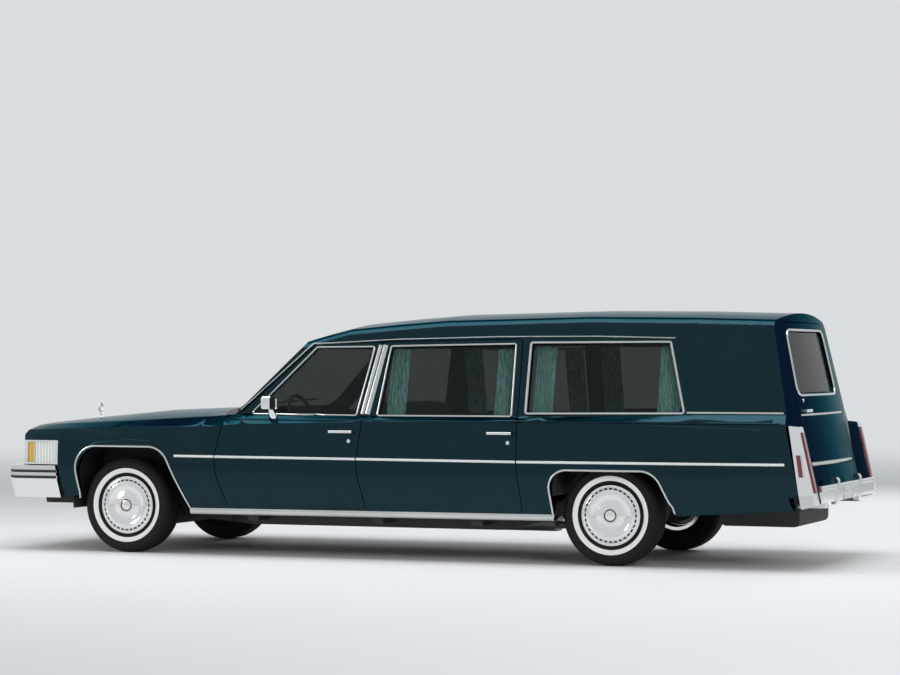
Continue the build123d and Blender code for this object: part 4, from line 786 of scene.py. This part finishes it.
for place, (wheel_x, wheel_y) in WHEELS.items():
    wheel_centre = Vector((wheel_x, wheel_y, TYRE_RADIUS))
    outward_sign = -1 if wheel_y < 0 else 1
    build_tyre(place, wheel_centre, outward_sign)
    build_cover(place, wheel_centre, outward_sign)


def window_frame(name, opening, body, width):
    """Bright frame round a side window, just outside its opening."""
    loop = rounded([(x, z, WINDOW_RADIUS) for x, z in opening], True)
    centre = sum(loop, Vector((0, 0))) / len(loop)
    outside = [p + (p - centre).normalized() * width * 0.55 for p in loop]
    side_moulding(name, outside, (width, 0.008), BRIGHT, body, 0.08, True)


window_frame("front_window_frame", FRONT_WINDOW, "front_door_{}", 0.014)
window_frame("rear_window_frame", REAR_WINDOW, "rear_door_{}", 0.014)
window_frame("quarter_window_frame", QUARTER_WINDOW, "body", 0.017)

# Search for a shut line: steps along the side, and how much deeper than the skin it lies
SHUT_STEP = 0.001
SHUT_DEPTH = 0.008
# Mouldings stop this far from a shut line
END_GAP = 0.004


def shut_gap(low, high, z):
    """Both edges of the shut line that crosses a height between two stations."""
    count = round((high - low) / SHUT_STEP)
    stations = [low + SHUT_STEP * step for step in range(count)]
    depths = [on_left(x, z)[0].y for x in stations]
    level = sorted(depths)[count // 3]
    deep = [x for x, depth in zip(stations, depths) if depth > level + SHUT_DEPTH]
    return (min(deep), max(deep)) if deep else ((low + high) / 2,) * 2


FRONT_SHUT = shut_gap(-1.370, -1.180, 0.704)
CENTRE_SHUT = shut_gap(-0.300, -0.080, 0.701)
REAR_SHUT = shut_gap(0.900, 1.080, 0.697)

# Long side mouldings: the x of both ends, then their heights
SIDE_RUNS = [
    ("fender", -1.611, FRONT_SHUT[0] - END_GAP, 0.705, 0.704, "body"),
    ("front_door", FRONT_SHUT[1] + END_GAP, CENTRE_SHUT[0] - END_GAP, 0.704, 0.701, "front_door_{}"),
    ("rear_door", CENTRE_SHUT[1] + END_GAP, REAR_SHUT[0] - END_GAP, 0.701, 0.697, "rear_door_{}"),
    ("quarter", REAR_SHUT[1] + END_GAP, 2.846, 0.697, 0.701, "body"),
]
for label, start, stop, start_z, stop_z, carrier in SIDE_RUNS:
    ends = [(start, start_z), (stop, stop_z)]
    side_moulding(f"{label}_moulding", ends, (0.018, 0.011), INSERT, carrier)

# Shut line of the centre pillar at two heights, and the heights between which its bands run
PILLAR_HEIGHTS = (1.050, 1.455)
PILLAR_LOW = shut_gap(-0.215, -0.075, PILLAR_HEIGHTS[0])
PILLAR_HIGH = shut_gap(-0.134, -0.022, PILLAR_HEIGHTS[1])
BAND_ENDS = (1.012, 1.496)


def pillar_band(name, edge, width, body):
    """A wide bright band on a door along the pillar's shut line; edge 0 is its front, 1 its rear."""
    away = (width / 2 + 0.003) * (1 if edge else -1)
    low = Vector((PILLAR_LOW[edge] + away, PILLAR_HEIGHTS[0]))
    high = Vector((PILLAR_HIGH[edge] + away, PILLAR_HEIGHTS[1]))
    along = (high - low) / (high.y - low.y)
    ends = [low + along * (z - low.y) for z in BAND_ENDS]
    side_moulding(name, ends, (width, 0.005), BRIGHT, body, 0.05)


pillar_band("front_pillar_band", 0, 0.026, "front_door_{}")
pillar_band("rear_pillar_band", 1, 0.036, "rear_door_{}")

# Shoulder creases, broken at the doors
SHOULDER_Z = 0.970
SHOULDER_SPANS = [(-1.480, -1.200), (-0.330, -0.120), (0.880, 1.060)]
BREAKS = [shut_gap(low, high, SHOULDER_Z) for low, high in SHOULDER_SPANS]
CREASES = [
    ("front_door", BREAKS[0][1], BREAKS[1][0], "front_door_{}"),
    ("rear_door", BREAKS[1][1], BREAKS[2][0], "rear_door_{}"),
    ("quarter", BREAKS[2][1], 2.816, "body"),
]
for label, start, stop, carrier in CREASES:
    ends = [(start + END_GAP, 0.971), (stop - END_GAP, 0.969)]
    side_moulding(f"{label}_crease", ends, (0.014, 0.0065), PAINT, carrier)

# Other lines along the body, as (x, z)
LOW_CREASE = [(1.300, 0.962), (1.582, 0.957), (2.140, 0.942), (2.686, 0.924)]
QUARTER_BELT = [(2.165, 1.037), (2.500, 1.037), (2.822, 1.037)]
DRIP_RAIL = [
    (-1.136, 1.033), (-0.652, 1.472), (-0.614, 1.502), (0.050, 1.534),
    (0.796, 1.549), (1.521, 1.549), (2.058, 1.536),
]
side_moulding("quarter_low_crease", LOW_CREASE, (0.016, 0.0045), PAINT, "body")
side_moulding("quarter_belt", QUARTER_BELT, (0.016, 0.008), BRIGHT, "body")
side_moulding("drip_rail", DRIP_RAIL, (0.012, 0.018), BRIGHT, "body")

SILL_ENDS = [Vector((-1.503, -0.921, 0.314)), Vector((1.246, -0.921, 0.322))]
SILL_OUTWARD = Vector((0, -1, -0.16))
sill = laid(moulding(0.044, 0.014, 0.006), [(end, SILL_OUTWARD) for end in SILL_ENDS])
both_sides(sill, "sill_moulding", BRIGHT, "body")

ARCH_MIDDLE_Z = 0.40
LIP_OUTSIDE = 0.006


def arch_lip(name, axle, corners):
    """Bright lip round a wheel arch, just outside its edge."""
    loop = [p + Vector((axle, 0)) for p in rounded(corners, False, 8)]
    middle = Vector((axle, ARCH_MIDDLE_Z))
    moved = [p + (p - middle).normalized() * LIP_OUTSIDE for p in loop]
    side_moulding(name, moved, (0.016, 0.012), BRIGHT, "body", 0.05)


arch_lip("front_arch_lip", FRONT_AXLE, FRONT_ARCH)
arch_lip("rear_arch_lip", REAR_AXLE, REAR_ARCH)


def flare_width(share):
    """Width of the flare over the front arch, narrow at both ends."""
    return 0.25 + 0.75 * math.sin(math.pi * share)


FLARE = [(-2.345, 0.745), (-2.262, 0.789), (-2.050, 0.797), (-1.830, 0.790), (-1.745, 0.752), (-1.705, 0.700)]
side_moulding("front_arch_flare", FLARE, (0.050, 0.013), PAINT, "body", 0.03, widths=flare_width)

# Front bumper's face: how far its middle stands ahead of its corners, and its half sizes
BUMPER_BOW = 0.0555
BUMPER_HALF = 0.880
BUMPER_SIDE = 0.950
BUMPER_END_X = -2.598
BUMPER_CORNER = 0.072


def bumper_line(inset, z, steps=28):
    """A level line round the front bumper's face, with its outward directions."""
    half = BUMPER_HALF - inset
    side_y = BUMPER_SIDE - inset
    tip = NOSE + inset
    radius = (half * half + BUMPER_BOW * BUMPER_BOW) / (2 * BUMPER_BOW)
    spread = math.asin(half / radius)
    corner_x = tip + BUMPER_BOW + BUMPER_CORNER
    line = [
        (Vector((BUMPER_END_X, -side_y, z)), Vector((0, -1, 0))),
        (Vector((corner_x, -side_y, z)), Vector((-0.3, -1, 0))),
    ]
    for step in range(steps + 1):
        turn = -spread + 2 * spread * step / steps
        ahead = Vector((-math.cos(turn), math.sin(turn), 0))
        line.append((Vector((tip + radius, 0, z)) + ahead * radius, ahead))
    across = Vector((1, -1, 1))
    return line + [(point * across, up * across) for point, up in (line[1], line[0])]


for label, strip_z in (("lower", 0.536), ("upper", 0.579)):
    strip = laid(moulding(0.019, 0.009, 0.001), bumper_line(0.011, strip_z))
    finish_mesh(strip, f"bumper_strip_{label}", BLACK, "body")

# Hood ornament: its station, wire, foot as (radius, height) and ring
ORNAMENT_X = -2.742
WIRE = 0.0042
FOOT = [(0.0001, 0.016), (0.006, 0.014), (0.010, 0.008), (0.017, 0.004), (0.022, 0.001), (0.024, -0.002)]
STEM_HEIGHTS = (0.008, 0.030, 0.052)
RING_RADIUS = 0.031
RING_HEIGHT = 0.083
BAR_HEIGHTS = (-0.030, 0.0, 0.030)


def round_angles(count):
    """Evenly spaced angles of one turn."""
    return [math.tau * step / count for step in range(count)]


def build_ornament():
    """A plain ring with an upright bar on a short stem, on the hood's centre line."""
    base, _ = cast(HOOD_SKIN, (ORNAMENT_X, 0, ABOVE_HOOD), DOWN)
    bm = bmesh.new()
    edges = add_ring(bm, [base + Vector((r, 0, h)) for r, h in FOOT], False)
    spin_line(bm, edges, base, (0, 0, 1), 32)
    circle = [(WIRE * math.cos(a), WIRE * math.sin(a)) for a in round_angles(10)]
    ups = [Vector((1, 0, 0))] * 3
    sweep(bm, circle, [base + Vector((0, 0, h)) for h in STEM_HEIGHTS], ups)
    middle = base + Vector((0, 0, RING_HEIGHT))
    arms = [Vector((0, math.cos(a), math.sin(a))) for a in round_angles(32)]
    sweep(bm, circle, [middle + arm * RING_RADIUS for arm in arms], arms, True)
    sweep(bm, circle, [middle + Vector((0, 0, h)) for h in BAR_HEIGHTS], ups)
    finish_mesh(bm, "hood_ornament", CHROME, "hood", 40)


build_ornament()


def rear_moulding(name, points, size, closed=False):
    """A moulding of (width, height) on the rear door along points (y, z)."""
    places = spaced([Vector(p) for p in points], 0.06, closed)
    found = [cast(REAR_SKIN, (BEHIND_CAR, place.x, place.y), FORWARD) for place in places]
    finish_mesh(laid(moulding(*size), found, closed), name, BRIGHT, "rear_door")


REAR_GLASS = [(-0.552, 1.153, 0.065), (0.552, 1.153, 0.065), (0.514, 1.594, 0.075), (-0.514, 1.594, 0.075)]
rear_moulding("rear_glass_frame", rounded(REAR_GLASS, True), (0.018, 0.009), True)
rear_moulding("rear_door_belt", [(-0.590, 1.022), (0.590, 1.022)], (0.017, 0.009))
rear_moulding("rear_door_sill", [(-0.590, 0.694), (0.590, 0.694)], (0.026, 0.011))

PLATE_LOW = (3.0625, -0.152, 0.4430)
PLATE_HIGH = (3.0645, 0.152, 0.5570)
BOLT_PLACES = [(3.0665, -0.0889, 0.500), (3.0665, 0.0889, 0.500)]


def build_plate():
    """A blank plate on its two bolts between the rear guards."""
    bm = bmesh.new()
    add_box(bm, PLATE_LOW, PLATE_HIGH, 0.0009, 1)
    finish_mesh(bm, "blank_plate", PLATE, "body")
    bolts = bmesh.new()
    for bolt in BOLT_PLACES:
        made = bmesh.ops.create_cone(
            bolts, cap_ends=True, segments=6, radius1=0.0062, radius2=0.0056, depth=0.004
        )
        turn = Matrix.Translation(bolt) @ Matrix.Rotation(math.radians(90), 4, "Y")
        bmesh.ops.transform(bolts, matrix=turn, verts=made["verts"])
    finish_mesh(bolts, "plate_bolts", STEEL, "body", 20)


build_plate()

MARKER = [(2.919, 0.769, 0.004), (2.955, 0.769, 0.004), (2.978, 0.618, 0.004), (2.942, 0.618, 0.004)]


def marker_frames():
    """A bright frame round each side marker in the tail fins."""
    places = spaced(rounded(MARKER, True, 2), 0.03, True)
    found = [cast(FIN_SKIN, (place.x, LEFT_OF_CAR, place.y), INWARD) for place in places]
    both_sides(laid(moulding(0.008, 0.005, 0.001), found, True), "marker_frame", CHROME, "body")


marker_frames()

# Wiper blades on the glass, as places across; their height there, and the rise of their outer end
BLADES = (("left", -0.640, -0.120), ("right", 0.060, 0.580))
BLADE_Z = 1.062
BLADE_RISE = 0.030
BLADE_STEPS = 8
ARM_HEIGHT = 0.016


def build_wipers():
    """Two wipers parked along the foot of the windshield."""
    for label, start_y, stop_y in BLADES:
        found = []
        for step in range(BLADE_STEPS + 1):
            share = step / BLADE_STEPS
            start = (AHEAD_OF_CAR, start_y + (stop_y - start_y) * share, BLADE_Z + BLADE_RISE * share)
            hit, normal = cast(PANE_SKIN, start, BACKWARD)
            if hit is not None:
                found.append((hit, normal))
        bm = laid(moulding(0.007, 0.014, -0.001), found)
        middle, up = found[len(found) // 2]
        root = found[0][0] + Vector((-0.075, 0.02, -0.030))
        tip = middle + up * ARM_HEIGHT
        sweep(bm, moulding(0.012, 0.006, 0.001), [root, root.lerp(tip, 0.5) + up * 0.010, tip], [up] * 3)
        finish_mesh(bm, f"wiper_{label}", BLACK, "body", 40)


build_wipers()

# Cushions: squareness of their outline, width and depth of the sewn channels, and crown
SQUARENESS = 7
SEAM_WIDTH = 0.012
SEAM_DEPTH = 0.010
CROWN = 0.06
SEAMS = [-0.80, -0.60, -0.40, -0.20, 0.0, 0.20, 0.40, 0.60, 0.80]


def padded_block(low, high):
    """A crowned cushion between two corners, with sewn channels on its upper side."""
    bm = bmesh.new()
    bmesh.ops.create_cube(bm, size=2.0)
    bmesh.ops.subdivide_edges(bm, edges=bm.edges[:], cuts=23, use_grid_fill=True)
    low, high = Vector(low), Vector(high)
    middle, half = (low + high) / 2, (high - low) / 2
    for vert in bm.verts:
        u = vert.co.copy()
        u /= sum(abs(c) ** SQUARENESS for c in u) ** (1 / SQUARENESS)
        fold = max(math.exp(-(((u.y - seam) / SEAM_WIDTH) ** 2)) for seam in SEAMS)
        if u.z > 0:
            u.z -= fold * SEAM_DEPTH / half.z
        u.z -= CROWN * (u.y * u.y) * (1 if u.z > 0 else 0)
        vert.co = middle + u * half
    return bm


def build_seat():
    """Front bench: a channelled cushion and a leaning back on a dark plinth."""
    low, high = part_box("front_seat")
    base_z = low[2]
    rise = high[2] - 0.570
    cushion = padded_block((-0.790, -0.698, rise + 0.018), (-0.255, 0.698, rise + 0.146))
    piece = finish_mesh(cushion, "seat_cushion", LEATHER, "body", 180)
    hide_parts("front_seat")
    back = padded_block((-0.235, -0.698, -0.055), (0.245, 0.698, 0.055))
    lean = Matrix.Translation((-0.215, 0, rise + 0.330)) @ Matrix.Rotation(math.radians(-76.0), 4, "Y")
    bmesh.ops.transform(back, matrix=lean, verts=back.verts[:])
    piece = finish_mesh(back, "seat_back", LEATHER, "body", 180)
    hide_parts("front_seat")
    plinth = bmesh.new()
    add_box(plinth, (-0.740, -0.630, base_z), (-0.320, 0.630, rise + 0.024), 0.006)
    piece = finish_mesh(plinth, "seat_plinth", CHASSIS, "body")
    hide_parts("front_seat")


build_seat()

# Curtains: foot, and lean of the glass behind which they hang
CURTAIN_FOOT = BELT - 0.010
CURTAIN_FOOT_Y = -0.885 + 0.052 + 0.015
GLASS_LEAN = 0.23
PLEAT_DEPTH = 0.0085
FACES_A_PLEAT = 8


def pleated_sheet(start, stop, low, high, y_high, pleats):
    """Gathered curtain between two stations and two heights."""
    bm = bmesh.new()
    bmesh.ops.create_grid(bm, x_segments=pleats * FACES_A_PLEAT, y_segments=24, size=0.5)
    for vert in bm.verts:
        u = vert.co.x + 0.5
        v = vert.co.y + 0.5
        pinch = 0.5 + 0.5 * math.cos(math.pi * v) ** 2
        wave = math.sin(math.tau * pleats * u + 0.7 * math.sin(5 * u + 2 * v))
        swell = 0.75 + 0.25 * math.sin(9 * u + 4 * v)
        lean = CURTAIN_FOOT_Y + (y_high - CURTAIN_FOOT_Y) * v
        y = lean + PLEAT_DEPTH * (1.3 - 0.4 * pinch) * wave * swell
        vert.co = Vector((start + (stop - start) * u, y, low + (high - low) * v))
    return bm


def cloth_width(bm, height):
    """Flat width of a gathered sheet from its area."""
    return sum(face.calc_area() for face in bm.faces) / height


def hang_curtain(name, spans, body, track_z, pleats):
    """The gathered curtains at both ends of one side window, on both sides."""
    low_z = CURTAIN_FOOT
    y_high = CURTAIN_FOOT_Y + GLASS_LEAN * (track_z - low_z)
    for label, start, stop in spans:
        bm = pleated_sheet(start, stop, low_z, track_z - 0.002, y_high, pleats)
        width = cloth_width(bm, track_z - low_z)
        for side_name, mesh in (("left", bm), ("right", mirrored(bm))):
            piece_name = f"{name}_{label}_{side_name}"
            piece = finish_mesh(mesh, piece_name, CLOTH, body.format(side_name), 180)
            yield side_name, piece


DOOR_SPANS = [("front", -0.032, 0.112), ("rear", 0.768, 0.912)]
QUARTER_SPANS = [("front", 1.045, 1.196), ("rear", 1.936, 2.094)]
for side_name, piece in hang_curtain("rear_door_curtain", DOOR_SPANS, "rear_door_{}", 1.468, 7):
    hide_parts(f"curtains_rear_{side_name}")
for side_name, piece in hang_curtain("quarter_curtain", QUARTER_SPANS, "body", 1.486, 8):
    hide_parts("quarter_curtains")

# The photograph's camera, as fitted to it
CAMERA_PLACE = (7.112, -17.869, 1.376)
CAMERA_YAW = math.radians(21.35)
CAMERA_TILT = math.radians(0.534)
SENSOR_WIDTH = 36.0
FOCAL_LENGTH = 105.72

# Lamps as (name, place, target, width, height, watts, whether seen in gloss)
LAMPS = [
    ("overhead_panel", (0, -0.6, 6.5), (0, 0, 0.6), 10.0, 4.0, 420, True),
    ("front_fill", (-9.5, -6.0, 4.2), (-2.0, 0, 0.7), 3.0, 2.6, 170, True),
    ("camera_fill", (9.5, -9.5, 5.0), (0.6, 0, 0.8), 5.0, 3.0, 420, False),
    ("far_fill", (4.0, 9.0, 4.5), (1.0, 0, 0.8), 6.0, 2.6, 260, False),
]
BACKDROP = (0.80, 0.82, 0.84, 1)
BACKDROP_STRENGTH = 0.88
SKY_STRENGTH = 0.55
FLOOR_RADIUS = 90.0
FLOOR_FADE = (6.0, 26.0)


def aim(name, data, place, ahead):
    """An object at a place in the scene, looking ahead."""
    thing = bpy.data.objects.new(name, data)
    thing.location = place
    thing.rotation_mode = "QUATERNION"
    thing.rotation_quaternion = ahead.to_track_quat("-Z", "Y")
    bpy.context.scene.collection.objects.link(thing)
    return thing


def build_camera():
    """Camera at the photograph's place and angle."""
    data = bpy.data.cameras.new("photo_camera")
    data.sensor_width = SENSOR_WIDTH
    data.lens = FOCAL_LENGTH
    data.clip_end = 300.0
    level = math.cos(CAMERA_TILT)
    ahead = Vector((-math.sin(CAMERA_YAW) * level, math.cos(CAMERA_YAW) * level, math.sin(CAMERA_TILT)))
    bpy.context.scene.camera = aim("photo_camera", data, CAMERA_PLACE, ahead)


def build_lights():
    """Soft studio light: a broad overhead panel and three fills."""
    for name, place, target, width, height, power, glossy in LAMPS:
        data = bpy.data.lights.new(name, "AREA")
        data.shape = "RECTANGLE"
        data.size = width
        data.size_y = height
        data.energy = power
        aim(name, data, place, Vector(target) - Vector(place)).visible_glossy = glossy


def seen_share(tree):
    """1 for rays of the camera, of glass and of gloss, and 0 for those that carry light."""
    rays = new_node(tree, "LightPath").outputs
    seen = math_node(tree, "MAXIMUM", rays["Is Camera Ray"], rays["Is Transmission Ray"])
    return math_node(tree, "MAXIMUM", seen, rays["Is Glossy Ray"])


def build_world():
    """A pale backdrop to the camera, gloss and glass, and a softer light on the object."""
    world = bpy.data.worlds.new("studio_world")
    bpy.context.scene.world = world
    world.use_nodes = True
    tree = world.node_tree
    shine = tree.nodes["Background"].inputs
    shine["Color"].default_value = BACKDROP
    rise = BACKDROP_STRENGTH - SKY_STRENGTH
    strength = math_node(tree, "MULTIPLY_ADD", seen_share(tree), rise, SKY_STRENGTH)
    tree.links.new(strength, shine["Strength"])


def floor_material():
    """Pale floor that turns into the backdrop far from the car."""
    made = material("pale_floor", (0.74, 0.75, 0.76), 0.75)
    tree, inputs = parts_of(made)
    place = object_place(tree)
    speckle = noise_node(tree, place, scale=180.0, detail=3.0, roughness=0.6)
    tone = blend_node(tree, speckle, (0.72, 0.73, 0.74), (0.76, 0.77, 0.78))
    tree.links.new(tone, inputs["Base Color"])
    reach = new_node(tree, "VectorMath")
    reach.operation = "LENGTH"
    tree.links.new(place, reach.inputs[0])
    far = new_node(tree, "MapRange", From_Min=FLOOR_FADE[0], From_Max=FLOOR_FADE[1])
    far.interpolation_type = "SMOOTHSTEP"
    tree.links.new(reach.outputs["Value"], far.inputs["Value"])
    share = math_node(tree, "MULTIPLY", seen_share(tree), far.outputs["Result"])
    glow = new_node(tree, "Emission", Color=BACKDROP, Strength=BACKDROP_STRENGTH)
    mixed = new_node(tree, "MixShader")
    tree.links.new(share, mixed.inputs[0])
    tree.links.new(tree.nodes["Principled BSDF"].outputs["BSDF"], mixed.inputs[1])
    tree.links.new(glow.outputs["Emission"], mixed.inputs[2])
    tree.links.new(mixed.outputs["Shader"], tree.nodes["Material Output"].inputs["Surface"])
    return made


def build_floor():
    """Plain pale floor."""
    bm = bmesh.new()
    bmesh.ops.create_circle(bm, cap_ends=True, segments=96, radius=FLOOR_RADIUS)
    mesh = bpy.data.meshes.new("studio_floor")
    bm.to_mesh(mesh)
    bm.free()
    mesh.materials.append(floor_material())
    floor = bpy.data.objects.new("studio_floor", mesh)
    bpy.context.scene.collection.objects.link(floor)


build_camera()
build_lights()
build_world()
build_floor()
bpy.context.scene.view_settings.view_transform = "Standard"
